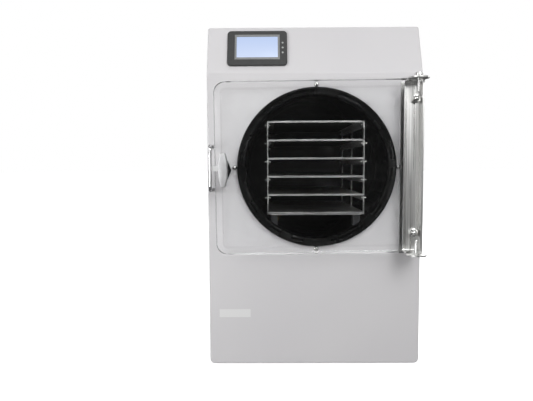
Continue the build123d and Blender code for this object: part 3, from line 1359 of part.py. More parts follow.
with BuildPart() as drain_valve_lever:
    with BuildSketch(Plane.XY.offset(LEVER_Z)) as lever_outline:
        with Locations((DRAIN_X, LEVER_Y)):
            Circle(LEVER_W / 2 + 2.0)
        with Locations((DRAIN_X + LEVER_L / 2, LEVER_Y)):
            SlotOverall(LEVER_L, LEVER_W)
    extrude(amount=LEVER_T)
    with BuildSketch(Plane.XY.offset(DRAIN_Z + DRAIN_BODY_R + SPINDLE_FIT)):
        with Locations((DRAIN_X, LEVER_Y)):
            Circle(STEM_R)
    extrude(amount=LEVER_Z - DRAIN_Z - DRAIN_BODY_R)
save(drain_valve_lever.part, "drain_valve_lever")


def socket(x, z, cavity):
    """A flanged panel socket set in the rear panel; cavity is its (width, height, depth)."""
    with BuildPart() as body:
        with BuildSketch(facing(REAR_Y)):
            with Locations((x, z)):
                RectangleRounded(SOCKET_W, SOCKET_H, SOCKET_PROUD)
        extrude(amount=-SOCKET_PROUD)
        with BuildSketch(facing(REAR_Y)):
            with Locations((x, z)):
                Rectangle(SOCKET_W - 3 * SOCKET_PROUD, SOCKET_H - 3 * SOCKET_PROUD)
        extrude(amount=SOCKET_DEPTH)
        with BuildSketch(facing(REAR_Y + SOCKET_PROUD)):
            with Locations((x, z)):
                Rectangle(cavity[0], cavity[1])
        extrude(amount=cavity[2], mode=Mode.SUBTRACT)
    return body.part


save(socket(INLET_X, BASE_Z + INLET_H, (27.0, 15.0, 20.0)), "power_inlet")

SWITCH_Z = BASE_Z + SWITCH_H
ROCKER_W = SWITCH_W - 4 * SOCKET_PROUD
ROCKER_H = SWITCH_T - 4 * SOCKET_PROUD

with BuildPart() as switch_housing:
    with BuildSketch(facing(REAR_Y)):
        with Locations((SWITCH_X, SWITCH_Z)):
            RectangleRounded(SWITCH_W, SWITCH_T, SOCKET_PROUD)
    extrude(amount=-SOCKET_PROUD)
    with BuildSketch(facing(REAR_Y)):
        with Locations((SWITCH_X, SWITCH_Z)):
            Rectangle(SWITCH_W - 3 * SOCKET_PROUD, SWITCH_T - 3 * SOCKET_PROUD)
    extrude(amount=SOCKET_DEPTH)
    with BuildSketch(facing(REAR_Y + SOCKET_PROUD)):
        with Locations((SWITCH_X, SWITCH_Z)):
            Rectangle(ROCKER_W + 2 * ROCKER_GAP, ROCKER_H + 2 * ROCKER_GAP)
    extrude(amount=SOCKET_PROUD + 12.0, mode=Mode.SUBTRACT)
save(switch_housing.part, "switch_housing")

with BuildPart() as power_rocker:
    with BuildSketch(across(SWITCH_X - ROCKER_W / 2)) as rocker_side:
        half = ROCKER_H / 2
        face = REAR_Y + SOCKET_PROUD
        with BuildLine():
            Polyline(
                (face - 5.0, SWITCH_Z - half + 1.5),
                (face + 1.0, SWITCH_Z - half),
                (face + 1.6, SWITCH_Z),
                (face + 4.5, SWITCH_Z + half),
                (face - 5.0, SWITCH_Z + half - 1.5),
                close=True,
            )
        make_face()
    extrude(amount=ROCKER_W)
save(power_rocker.part, "power_rocker")
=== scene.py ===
import bmesh
import bpy
from math import atan2, cos, hypot, pi, radians, sin
from mathutils import Euler, Matrix, Vector


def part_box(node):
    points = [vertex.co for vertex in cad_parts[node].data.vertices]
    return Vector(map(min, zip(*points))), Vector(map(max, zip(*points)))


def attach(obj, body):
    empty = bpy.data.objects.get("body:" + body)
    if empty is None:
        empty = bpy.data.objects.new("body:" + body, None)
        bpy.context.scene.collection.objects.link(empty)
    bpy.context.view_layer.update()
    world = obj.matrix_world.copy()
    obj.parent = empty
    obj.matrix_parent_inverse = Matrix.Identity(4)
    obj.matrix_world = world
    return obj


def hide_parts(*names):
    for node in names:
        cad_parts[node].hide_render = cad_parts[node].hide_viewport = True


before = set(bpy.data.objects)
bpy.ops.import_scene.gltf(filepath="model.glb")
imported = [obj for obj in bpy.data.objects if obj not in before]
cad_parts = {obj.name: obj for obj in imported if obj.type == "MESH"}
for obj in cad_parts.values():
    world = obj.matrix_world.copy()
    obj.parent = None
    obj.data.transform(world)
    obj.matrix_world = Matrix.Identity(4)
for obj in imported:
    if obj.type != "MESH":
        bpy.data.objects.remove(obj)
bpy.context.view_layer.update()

# Camera. It stands a little left of the middle at chest height and looks slightly down
# at the front of the cabinet, whose front sheet it is placed from.
sheet_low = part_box("front_panel")[0]
front_y = sheet_low.y
eye = Vector((-0.10315, front_y - 1.17846, sheet_low.z + 0.47429))
tilt_down = 0.0691
turn_left = 0.0081
lean = -0.0049
lens = bpy.data.cameras.new("camera")
lens.sensor_width = 36.0
lens.lens = 33.91
lens.clip_start = 0.01
camera = bpy.data.objects.new("camera", lens)
camera.matrix_world = (
    Matrix.Translation(eye)
    @ Euler((pi / 2 - tilt_down, 0, turn_left)).to_matrix().to_4x4()
    @ Matrix.Rotation(lean, 4, "Z")
)
bpy.context.scene.collection.objects.link(camera)
bpy.context.scene.camera = camera

# Studio. A white floor, a surround that is dark straight ahead of the door, bright in a ring
# about it above the floor and dim elsewhere, with soft lamps on every side. Looked at
# directly or through clear sheet, both floor and surround are plain white.
bpy.context.scene.view_settings.view_transform = "Standard"


def looked_at(tree, slack):
    """A socket that is 1 on rays from the eye which have only passed through clear pieces.

    The slack is under one ray on a surface, and one more where a ray ends in the surround.
    """
    path = tree.nodes.new("ShaderNodeLightPath")
    only_passed = tree.nodes.new("ShaderNodeMath")
    only_passed.operation = "COMPARE"
    only_passed.inputs[2].default_value = slack
    tree.links.new(path.outputs["Ray Depth"], only_passed.inputs[0])
    tree.links.new(path.outputs["Transmission Depth"], only_passed.inputs[1])
    return only_passed.outputs["Value"]


surround = bpy.data.worlds.new("surround")
surround.use_nodes = True
bpy.context.scene.world = surround
sky = surround.node_tree.nodes
join = surround.node_tree.links.new
direction = sky.new("ShaderNodeTexCoord")
facing_door = sky.new("ShaderNodeVectorMath")
facing_door.operation = "DOT_PRODUCT"
facing_door.inputs[1].default_value = Vector((0.07, -1, 0.02)).normalized()
turned_away = sky.new("ShaderNodeMapRange")
turned_away.inputs["From Min"].default_value = -1
ring = sky.new("ShaderNodeValToRGB")
ring.color_ramp.interpolation = "EASE"
for degrees_off, brightness in ((180, 0.10), (100, 0.06), (72, 0.30), (48, 0.74), (24, 0.70), (14, 0.04)):
    stop = ring.color_ramp.elements.new((1 + cos(radians(degrees_off))) / 2)
    stop.color = (brightness, brightness, brightness, 1)
ring.color_ramp.elements.remove(ring.color_ramp.elements[0])
ring.color_ramp.elements[-1].color = (0.05, 0.05, 0.05, 1)
seen = looked_at(surround.node_tree, 1.5)
level = sky.new("ShaderNodeMix")
level.data_type = "RGBA"
level.inputs["B"].default_value = (1, 1, 1, 1)
join(direction.outputs["Generated"], facing_door.inputs[0])
join(facing_door.outputs["Value"], turned_away.inputs["Value"])
join(turned_away.outputs["Result"], ring.inputs["Fac"])
join(seen, level.inputs["Factor"])
join(ring.outputs["Color"], level.inputs["A"])
join(level.outputs["Result"], sky["Background"].inputs["Color"])
upward = sky.new("ShaderNodeSeparateXYZ")
above_floor = sky.new("ShaderNodeMapRange")
above_floor.inputs["From Min"].default_value = -0.35
above_floor.inputs["From Max"].default_value = -0.02
above_floor.inputs["To Min"].default_value = 0.2
strength = sky.new("ShaderNodeMath")
strength.operation = "MAXIMUM"
join(direction.outputs["Generated"], upward.inputs["Vector"])
join(upward.outputs["Z"], above_floor.inputs["Value"])
join(above_floor.outputs["Result"], strength.inputs[0])
join(seen, strength.inputs[1])
join(strength.outputs["Value"], sky["Background"].inputs["Strength"])

for lamp_name, place, aim, width, height, watts in (
    ("key_lamp", (-1.5, front_y - 1.5, 1.1), (0.1, front_y, 0.3), 1.1, 1.4, 9),
    ("low_lamp", (-1.3, front_y - 1.4, 0.3), (-0.1, front_y, 0.05), 1.0, 0.5, 9),
    ("fill_lamp", (0.8, front_y - 2.5, 1.9), (0.2, front_y, 0.3), 1.3, 1.4, 36),
    ("top_lamp", (0, 0.1, 2.6), (0, 0, 0), 2.0, 2.0, 10),
    ("left_lamp", (-2.5, 0.7, 1.3), (0, 0.1, 0.4), 1.4, 1.4, 13),
    ("right_lamp", (2.5, 0.7, 1.3), (0, 0.1, 0.4), 1.4, 1.4, 13),
    ("back_lamp", (0.6, 2.4, 1.6), (0, 0, 0.4), 1.6, 1.6, 24),
):
    light = bpy.data.lights.new(lamp_name, "AREA")
    light.shape = "RECTANGLE"
    light.size = width
    light.size_y = height
    light.energy = watts
    lamp = bpy.data.objects.new(lamp_name, light)
    lamp.matrix_world = Matrix.Translation(place) @ (
        (Vector(place) - Vector(aim)).to_track_quat("Z", "Y").to_matrix().to_4x4()
    )
    bpy.context.scene.collection.objects.link(lamp)

ground = bmesh.new()
bmesh.ops.create_grid(ground, x_segments=1, y_segments=1, size=20.0)
bmesh.ops.translate(ground, verts=ground.verts, vec=(0, 20.0 + front_y - 0.75, 0))
ground_mesh = bpy.data.meshes.new("floor")
ground.to_mesh(ground_mesh)
floor = bpy.data.objects.new("floor", ground_mesh)
bpy.context.scene.collection.objects.link(floor)
floor_finish = bpy.data.materials.new("pale_floor")
floor_finish.use_nodes = True
floor_sockets = floor_finish.node_tree.nodes["Principled BSDF"].inputs
floor_sockets["Base Color"].default_value = (0.7, 0.7, 0.7, 1)
floor_sockets["Roughness"].default_value = 0.8
floor_sockets["Emission Color"].default_value = (1, 1, 1, 1)
seen_floor = looked_at(floor_finish.node_tree, 0.5)
for socket, hidden, shown in (("Emission Strength", 0.0, 0.9), ("Base Color", 0.12, 0.75)):
    glow = floor_finish.node_tree.nodes.new("ShaderNodeMapRange")
    glow.inputs["To Min"].default_value = hidden
    glow.inputs["To Max"].default_value = shown
    floor_finish.node_tree.links.new(seen_floor, glow.inputs["Value"])
    floor_finish.node_tree.links.new(glow.outputs["Result"], floor_sockets[socket])
floor.data.materials.append(floor_finish)


# Base pan and inner frame. Zinc-plated steel sheet: the pan is pressed, the frame welded
# from folded angles, both with the faint crystal pattern that plating leaves.
def finish(name, color, metallic, roughness, **extra):
    """A material whose shader sockets hold these even values; extra names use _ for a space."""
    material = bpy.data.materials.new(name)
    material.use_nodes = True
    sockets = material.node_tree.nodes["Principled BSDF"].inputs
    sockets["Base Color"].default_value = (*color, 1)
    sockets["Metallic"].default_value = metallic
    sockets["Roughness"].default_value = roughness
    for socket, value in extra.items():
        sockets[socket.replace("_", " ")].default_value = value
    return material


def grain(material, scale, low, high, stretch=(1, 1, 1), kind="ShaderNodeTexNoise"):
    """A pattern fixed to the piece, spread between low and high; stretch draws it out along an axis."""
    tree = material.node_tree
    place = tree.nodes.new("ShaderNodeTexCoord")
    mapping = tree.nodes.new("ShaderNodeMapping")
    mapping.inputs["Scale"].default_value = stretch
    pattern = tree.nodes.new(kind)
    pattern.inputs["Scale"].default_value = scale
    spread = tree.nodes.new("ShaderNodeMapRange")
    spread.inputs["From Min"].default_value = 0.3
    spread.inputs["From Max"].default_value = 0.7
    spread.inputs["To Min"].default_value = low
    spread.inputs["To Max"].default_value = high
    tree.links.new(place.outputs["Object"], mapping.inputs["Vector"])
    tree.links.new(mapping.outputs["Vector"], pattern.inputs["Vector"])
    tree.links.new(pattern.outputs[0], spread.inputs["Value"])
    return spread.outputs["Result"]


def tint(material, factor, dark, light):
    """Colours the material between two tones by the pattern."""
    tree = material.node_tree
    blend = tree.nodes.new("ShaderNodeMix")
    blend.data_type = "RGBA"
    blend.inputs["A"].default_value = (*dark, 1)
    blend.inputs["B"].default_value = (*light, 1)
    tree.links.new(factor, blend.inputs["Factor"])
    tree.links.new(blend.outputs["Result"], tree.nodes["Principled BSDF"].inputs["Base Color"])


def relief(material, height, depth):
    """Raises the surface by the pattern, depth metres between its low and high."""
    tree = material.node_tree
    bump = tree.nodes.new("ShaderNodeBump")
    bump.inputs["Strength"].default_value = 1.0
    bump.inputs["Distance"].default_value = depth
    tree.links.new(height, bump.inputs["Height"])
    tree.links.new(bump.outputs["Normal"], tree.nodes["Principled BSDF"].inputs["Normal"])


def polish(material, roughness):
    """Varies the shine by the pattern."""
    tree = material.node_tree
    tree.links.new(roughness, tree.nodes["Principled BSDF"].inputs["Roughness"])


def dress(material, *nodes):
    """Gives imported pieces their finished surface."""
    for node in nodes:
        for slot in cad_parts[node].material_slots:
            slot.material = material


zinc = finish("zinc_plate", (0.55, 0.56, 0.57), 1.0, 0.42)
tint(zinc, grain(zinc, 70, 0, 1, kind="ShaderNodeTexVoronoi"), (0.46, 0.47, 0.49), (0.62, 0.63, 0.64))
polish(zinc, grain(zinc, 25, 0.34, 0.52))
dress(zinc, "base_pan", "cabinet_frame", "chamber_cradle", "fan_shroud", "electronics_tray")

# Feet. Moulded black rubber discs pushed into the side sheets' bottom ledges, dull and
# slightly dusty.
rubber = finish("black_rubber", (0.022, 0.022, 0.024), 0.0, 0.75)
tint(rubber, grain(rubber, 60, 0, 1), (0.016, 0.016, 0.018), (0.034, 0.034, 0.036))
relief(rubber, grain(rubber, 1400, 0, 1), 0.00008)
dress(rubber, "rubber_feet", "compressor_mounts", "rack_pads")

# Vacuum chamber. Welded steel drum, sprayed and baked glossy black inside and out, with
# the slight ripple of the coating.
chamber_black = finish(
    "chamber_enamel", (0.003, 0.003, 0.0035), 0.0, 0.16, Coat_Weight=0.25, Coat_Roughness=0.05
)
polish(chamber_black, grain(chamber_black, 18, 0.10, 0.26))
relief(chamber_black, grain(chamber_black, 45, 0, 1), 0.0003)
dress(chamber_black, "vacuum_chamber", "chamber_flange", "chamber_back")


def settle(name, shape, material, body, finish_slot, *stands_for):
    """Makes a closed form a piece with this surface, riding a body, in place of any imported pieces."""
    bmesh.ops.remove_doubles(shape, verts=shape.verts, dist=1e-6)
    bmesh.ops.dissolve_degenerate(shape, edges=shape.edges, dist=1e-6)
    bmesh.ops.recalc_face_normals(shape, faces=shape.faces)
    for face in shape.faces:
        face.smooth = True
    for edge in shape.edges:
        edge.smooth = len(edge.link_faces) == 2 and edge.calc_face_angle() < radians(32)
    mesh = bpy.data.meshes.new(name)
    shape.to_mesh(mesh)
    shape.free()
    mesh.materials.append(material)
    made = bpy.data.objects.new(name, mesh)
    bpy.context.scene.collection.objects.link(made)
    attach(made, body)
    if stands_for:
        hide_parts(*stands_for)
    return made


def facing_front(point):
    """A place at the point whose +Z is out of the front of the cabinet."""
    return Matrix.Translation(point) @ Matrix.Rotation(pi / 2, 4, "X")


def turned(shape, outline, steps=48, place=Matrix()):
    """Spins (radius, height) points round +Z into a form, and puts it in its place."""
    earlier = set(shape.verts)
    verts = [shape.verts.new((radius, 0, height)) for radius, height in outline]
    edges = [shape.edges.new(pair) for pair in zip(verts, verts[1:])]
    bmesh.ops.spin(
        shape, geom=verts + edges, cent=(0, 0, 0), axis=(0, 0, 1), angle=2 * pi, steps=steps, use_merge=True
    )
    made = [vert for vert in shape.verts if vert not in earlier]
    bmesh.ops.transform(shape, matrix=place, verts=made)
    return made


# Port strainer. A pressed disc with a rolled rim that stands on three posts over the
# vacuum port inside the chamber, enamelled with it, so nothing is drawn down the pipe.
port_low, port_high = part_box("vacuum_port")
port_middle = (port_low + port_high) / 2
strainer_gap = 0.010
post_circle, post_radius = 0.0185, 0.002
strainer_out = facing_front((port_middle.x, port_low.y, port_middle.z))
strainer = bmesh.new()
turned(
    strainer,
    (
        (0, strainer_gap), (0.020, strainer_gap),
        (0.0225, strainer_gap - 0.0015), (0.0235, strainer_gap - 0.0012),
        (0.0238, strainer_gap + 0.0002), (0.0215, strainer_gap + 0.0022), (0.012, strainer_gap + 0.0030),
        (0, strainer_gap + 0.0032),
    ),
    place=strainer_out,
)
for third in range(3):
    post = Matrix.Rotation(third * 2 * pi / 3, 4, "Z") @ Matrix.Translation((post_circle, 0, 0))
    post_outline = ((0, 0), (post_radius, 0), (post_radius, strainer_gap), (0, strainer_gap))
    turned(strainer, post_outline, 12, strainer_out @ post)
settle("port_strainer", strainer, chamber_black, "cabinet", "chamber_black")

# Evaporator coil and refrigerant tubes. Drawn copper, brazed at the joints, browned in
# patches.
copper = finish("copper_tube", (0.78, 0.38, 0.23), 1.0, 0.3)
tint(copper, grain(copper, 30, 0, 1), (0.42, 0.19, 0.11), (0.82, 0.43, 0.27))
polish(copper, grain(copper, 80, 0.22, 0.45))
dress(copper, "evaporator_coil", "filter_drier", "discharge_line", "suction_line")

# Chamber insulation. Closed-cell black rubber foam, cut from sheet, wrapped round the drum
# and glued, with its fine cells open on the cut faces.
foam = finish("closed_cell_foam", (0.02, 0.02, 0.02), 0.0, 0.9)
tint(foam, grain(foam, 40, 0, 1), (0.014, 0.014, 0.014), (0.03, 0.03, 0.03))
relief(foam, grain(foam, 500, 0, 1, kind="ShaderNodeTexVoronoi"), 0.0004)
dress(foam, "chamber_insulation")

# Compressor. Two pressed steel cups welded round the middle and painted satin black, on
# rubber mounts on the base pan.
compressor_black = finish("compressor_paint", (0.012, 0.012, 0.013), 0.0, 0.35, Coat_Weight=0.3)
polish(compressor_black, grain(compressor_black, 30, 0.28, 0.48))
relief(compressor_black, grain(compressor_black, 600, 0, 1), 0.00008)
dress(compressor_black, "compressor")

# Condenser coil. Thin aluminium fins pressed over copper tubes, close together and upright,
# with the return bends at the ends; the near-black bands between the fins are painted shade.
fins = finish("aluminium_fins", (0.70, 0.71, 0.72), 1.0, 0.4)
fin_rows_and_gap_shade = fins.node_tree.nodes.new("ShaderNodeTexWave")
fin_rows_and_gap_shade.inputs["Scale"].default_value = 95
fin_rows_and_gap_shade.bands_direction = "X"
fin_place = fins.node_tree.nodes.new("ShaderNodeTexCoord")
fins.node_tree.links.new(fin_place.outputs["Object"], fin_rows_and_gap_shade.inputs["Vector"])
# Painted shade: near-black bands in the narrow gaps between the fins.
tint(fins, fin_rows_and_gap_shade.outputs["Fac"], (0.05, 0.05, 0.05), (0.72, 0.73, 0.74))
relief(fins, fin_rows_and_gap_shade.outputs["Fac"], 0.0012)
dress(fins, "condenser_coil")

# Fan, motor and housings. Moulded black plastic with a fine spark texture: the fan behind
# the condenser, the touch panel's box, and the inlet and switch snapped into the rear sheet.
moulded_black = finish("moulded_black", (0.018, 0.018, 0.019), 0.0, 0.5)
tint(moulded_black, grain(moulded_black, 50, 0, 1), (0.014, 0.014, 0.015), (0.024, 0.024, 0.025))
relief(moulded_black, grain(moulded_black, 1800, 0, 1), 0.00006)
dress(moulded_black, "fan_blade", "fan_motor", "hmi_housing", "power_inlet", "switch_housing", "power_rocker")

# Inlet pins. Three nickel-plated brass blades with rounded tips, pressed into the floor of
# the mains inlet's socket, the earth one longest.
nickel = finish("plated_blades", (0.66, 0.64, 0.60), 1.0, 0.25)
polish(nickel, grain(nickel, 400, 0.2, 0.34))
inlet_low, inlet_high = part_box("power_inlet")
inlet_middle = (inlet_low + inlet_high) / 2
socket_floor = inlet_high.y - 0.0205
blade_thickness, blade_width = 0.002, 0.004
blades = bmesh.new()
for across, up, length in ((-0.007, -0.002, 0.0145), (0.007, -0.002, 0.0145), (0, 0.002, 0.0165)):
    place = (inlet_middle.x + across, socket_floor + length / 2, inlet_middle.z + up)
    blade_size = Matrix.Diagonal((blade_thickness, length, blade_width, 1))
    blade = bmesh.ops.create_cube(blades, size=1.0, matrix=Matrix.Translation(place) @ blade_size)["verts"]
    tip = [edge for vert in blade for edge in vert.link_edges if all(v.co.y > place[1] for v in edge.verts)]
    bmesh.ops.bevel(
        blades, geom=list(set(tip)), offset=0.0006, affect="EDGES", segments=2, profile=0.5, material=-1
    )
settle("inlet_pins", blades, nickel, "cabinet", "stainless_hardware")

# Control board and power supply. Green glass-fibre board on spacers beside a closed
# supply in a pressed aluminium case.
solder_mask = finish("solder_mask", (0.01, 0.12, 0.05), 0.0, 0.3, Coat_Weight=0.5)
copper_planes = grain(solder_mask, 220, 0, 1, kind="ShaderNodeTexVoronoi")
tint(solder_mask, copper_planes, (0.008, 0.09, 0.04), (0.02, 0.17, 0.08))
dress(solder_mask, "control_board")
supply_case = finish("supply_case", (0.62, 0.63, 0.64), 1.0, 0.4)
polish(supply_case, grain(supply_case, 200, 0.3, 0.5, stretch=(0.1, 1, 1)))
dress(supply_case, "power_supply")

# Cabinet sheets. Folded steel, powder-coated light grey: a fine orange-peel skin with a
# soft gloss, a little uneven in tone over the large faces.
powder_coat = finish("powder_coat", (0.60, 0.59, 0.60), 0.0, 0.4, Coat_Weight=0.2, Coat_Roughness=0.22)
tint(powder_coat, grain(powder_coat, 3, 0, 1), (0.585, 0.575, 0.590), (0.615, 0.605, 0.615))
polish(powder_coat, grain(powder_coat, 35, 0.36, 0.46))
relief(powder_coat, grain(powder_coat, 900, 0, 1), 0.00002)
dress(powder_coat, "front_panel", "top_cover", "left_side_panel", "right_side_panel", "rear_panel")

# Screws. Stainless: low button heads with a hexagon recess round the chamber and on the
# hinge bracket, small pan heads with a cross recess in the side and rear sheets.
stainless = finish("polished_stainless", (0.74, 0.74, 0.73), 1.0, 0.2)
polish(stainless, grain(stainless, 260, 0.14, 0.28))
dress(stainless, "panel_screws", "button_screws", "rack_screws", "hinge_pins", "channel_nuts")


def solids_of(node):
    """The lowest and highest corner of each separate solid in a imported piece, lowest first."""
    shape = bmesh.new()
    shape.from_mesh(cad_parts[node].data)
    bmesh.ops.remove_doubles(shape, verts=shape.verts, dist=1e-6)
    waiting = set(shape.verts)
    found = []
    while waiting:
        group = [waiting.pop()]
        for vert in group:
            for edge in vert.link_edges:
                neighbour = edge.other_vert(vert)
                if neighbour in waiting:
                    waiting.remove(neighbour)
                    group.append(neighbour)
        low = Vector([min(vert.co[axis] for vert in group) for axis in range(3)])
        high = Vector([max(vert.co[axis] for vert in group) for axis in range(3)])
        found.append((low, high))
    shape.free()
    return sorted(found, key=lambda corners: tuple(round(c, 4) for c in corners[0].zxy))


def screw(shape, outline, recess, depth, place):
    """A turned screw whose open top is drawn to a wrench recess: recess(angle) is its radius."""
    made = turned(shape, outline, 24)
    top_radius, top_height = outline[-1]
    rim = {
        vert
        for vert in made
        if abs(vert.co.z - top_height) < 1e-7 and abs(hypot(vert.co.x, vert.co.y) - top_radius) < 1e-6
    }
    for vert in rim:
        angle = atan2(vert.co.y, vert.co.x)
        vert.co.x = recess(angle) * cos(angle)
        vert.co.y = recess(angle) * sin(angle)
    ring = [edge for edge in shape.edges if set(edge.verts) <= rim]
    sunk = bmesh.ops.extrude_edge_only(shape, edges=ring)["geom"]
    sunk_verts = [part for part in sunk if isinstance(part, bmesh.types.BMVert)]
    bmesh.ops.translate(shape, verts=sunk_verts, vec=(0, 0, -depth))
    bmesh.ops.contextual_create(shape, geom=sunk_verts)
    bmesh.ops.transform(shape, matrix=place, verts=made + sunk_verts)


def hexagon(angle, flat=0.0015):
    """Half of a 3 mm hexagon wrench opening, at an angle from a corner."""
    return flat / cos(angle % (pi / 3) - pi / 6)


def cross(angle, arm=0.0023, half=0.0005):
    """The outline of a cross recess with 4.6 mm arms."""
    near = min(angle % (pi / 2), pi / 2 - angle % (pi / 2))
    return min(arm / cos(near), half / max(sin(near), 1e-6))


head_radius, head_height, hexagon_depth = 0.00575, 0.004, 0.0022
button_heads = bmesh.new()
for turn, (low, high) in enumerate(solids_of("button_screws")):
    seat = Vector(((low.x + high.x) / 2, low.y + head_height, (low.z + high.z) / 2))
    shank = high.y - seat.y
    screw(
        button_heads,
        (
            (0, -shank), (0.0027, -shank), (0.003, 0.0005 - shank), (0.003, 0), (head_radius, 0),
            (head_radius, 0.2 * head_height), (0.93 * head_radius, 0.5 * head_height),
            (0.77 * head_radius, 0.78 * head_height), (0.56 * head_radius, 0.94 * head_height),
            (0.36 * head_radius, head_height),
        ),
        hexagon,
        hexagon_depth,
        facing_front(seat) @ Matrix.Rotation(0.9 * turn, 4, "Z"),
    )
settle("button_heads", button_heads, stainless, "cabinet", "stainless_hardware", "button_screws")

pan_height, cross_depth = 0.0018, 0.0011
sheet_screws = bmesh.new()
for turn, (low, high) in enumerate(solids_of("panel_screws")):
    size = high - low
    middle = (low + high) / 2
    out = Vector((middle.x, 0, 0)).normalized() if size.x > size.z + 0.0005 else Vector((0, 1, 0))
    seat = middle + out * (max(size) / 2 - pan_height)
    screw(
        sheet_screws,
        (
            (0, -0.008), (0.0018, -0.008), (0.002, -0.0076), (0.002, 0), (0.004, 0), (0.004, 0.0006),
            (0.0037, 0.0012), (0.0029, pan_height), (0.0025, pan_height),
        ),
        cross,
        cross_depth,
        Matrix.Translation(seat)
        @ Vector((0, 0, 1)).rotation_difference(out).to_matrix().to_4x4()
        @ Matrix.Rotation(1.3 * turn, 4, "Z"),
    )
settle("sheet_screws", sheet_screws, stainless, "cabinet", "stainless_hardware", "panel_screws")

# Rear fittings. The vacuum flange is turned stainless steel, the drain valve brass with a
# red dipped lever.
brass = finish("turned_brass", (0.72, 0.52, 0.22), 1.0, 0.28)
tint(brass, grain(brass, 120, 0, 1), (0.55, 0.38, 0.15), (0.78, 0.58, 0.26))
polish(brass, grain(brass, 300, 0.2, 0.4))
dress(brass, "drain_valve_body")
dipped_red = finish("dipped_grip", (0.5, 0.02, 0.015), 0.0, 0.35, Coat_Weight=0.3)
polish(dipped_red, grain(dipped_red, 90, 0.28, 0.5))
dress(dipped_red, "drain_valve_lever")

# Door gasket. One moulded ring of glossy black rubber pushed over the drum's rim: a round
# outer bead, a shallow valley and a sealing lip that the door closes on.
gasket_rubber = finish("gasket_rubber", (0.0015, 0.0015, 0.0015), 0.0, 0.3, Specular_IOR_Level=0.14)
polish(gasket_rubber, grain(gasket_rubber, 22, 0.2, 0.34))
relief(gasket_rubber, grain(gasket_rubber, 700, 0, 1), 0.00002)
gasket_low, gasket_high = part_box("door_gasket")
gasket_middle = (gasket_low + gasket_high) / 2
outer = (gasket_high.x - gasket_low.x) / 2
proud = gasket_high.y - gasket_low.y
gasket = bmesh.new()
turned(
    gasket,
    (
        (outer - 0.0213, 0), (outer - 0.0213, proud - 0.006), (outer - 0.0205, proud - 0.0028),
        (outer - 0.0188, proud - 0.0008), (outer - 0.0165, proud), (outer - 0.0138, proud - 0.0008),
        (outer - 0.0122, proud - 0.0028), (outer - 0.0104, proud - 0.0036), (outer - 0.0086, proud - 0.0026),
        (outer - 0.0062, proud - 0.0012), (outer - 0.0036, proud - 0.0024), (outer - 0.0014, proud - 0.0056),
        (outer - 0.0002, proud - 0.0105), (outer, 0.003), (outer - 0.0005, 0),
        (outer - 0.0151, 0), (outer - 0.0151, 0.0082), (outer - 0.0195, 0.0082), (outer - 0.0195, 0),
        (outer - 0.0213, 0),
    ),
    160,
    facing_front((gasket_middle.x, gasket_high.y, gasket_middle.z)),
)
settle("gasket_ring", gasket, gasket_rubber, "cabinet", "gasket_rubber", "door_gasket")

# Tray rack. Folded thin stainless sheet, brushed from side to side, held with small
# screws; black silicone heater mats are stuck under the shelves.
shelf_steel = finish("shelf_steel", (0.66, 0.66, 0.65), 1.0, 0.3, Anisotropic=0.4)
tint(shelf_steel, grain(shelf_steel, 900, 0, 1, stretch=(0.02, 1, 1)), (0.58, 0.58, 0.57), (0.74, 0.74, 0.73))
polish(shelf_steel, grain(shelf_steel, 700, 0.22, 0.42, stretch=(0.03, 1, 1)))
dress(shelf_steel, "rack_frame", "vacuum_port", *(f"shelf_{n}" for n in range(1, 7)))
silicone_mat = finish("silicone_mat", (0.012, 0.012, 0.012), 0.0, 0.5)
relief(silicone_mat, grain(silicone_mat, 450, 0, 1, kind="ShaderNodeTexVoronoi"), 0.0003)
dress(silicone_mat, "shelf_heaters")

# Door plate. Cast acrylic 25 mm thick, clear and polished. A fine darker line painted into its
# colour 17 mm inside the edge, with a lighter margin outside it, is painted shadow of the edge on the sheet
# behind.
acrylic = finish("clear_acrylic", (0.995, 1.0, 1.0), 0.0, 0.0, Transmission_Weight=1.0, IOR=1.49)
pane = acrylic.node_tree
plate_low, plate_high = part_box("door_plate")
corner, shadow_inset, sag = 0.027, 0.017, radians(0.55)
half = (plate_high - plate_low) / 2 - Vector((corner, 0, corner))
core = Vector((half.x * cos(sag) - half.z * sin(sag), 1.0, half.z * cos(sag) - half.x * sin(sag)))
inward = pane.nodes.new("ShaderNodeTexCoord")
level_plate = pane.nodes.new("ShaderNodeMapping")
level_plate.vector_type = "TEXTURE"
level_plate.inputs["Location"].default_value = (plate_low + plate_high) / 2
level_plate.inputs["Rotation"].default_value = (0, -sag, 0)
from_core = inward.outputs["Object"]
pane.links.new(from_core, level_plate.inputs["Vector"])
from_core = level_plate.outputs["Vector"]
for operation, amount in (("ABSOLUTE", None), ("SUBTRACT", core), ("MAXIMUM", (0, 0, 0)), ("LENGTH", None)):
    step = pane.nodes.new("ShaderNodeVectorMath")
    step.operation = operation
    if amount is not None:
        step.inputs[1].default_value = amount
    pane.links.new(from_core, step.inputs[0])
    from_core = step.outputs["Value" if operation == "LENGTH" else "Vector"]
to_edge = pane.nodes.new("ShaderNodeMapRange")
to_edge.inputs["From Max"].default_value = corner
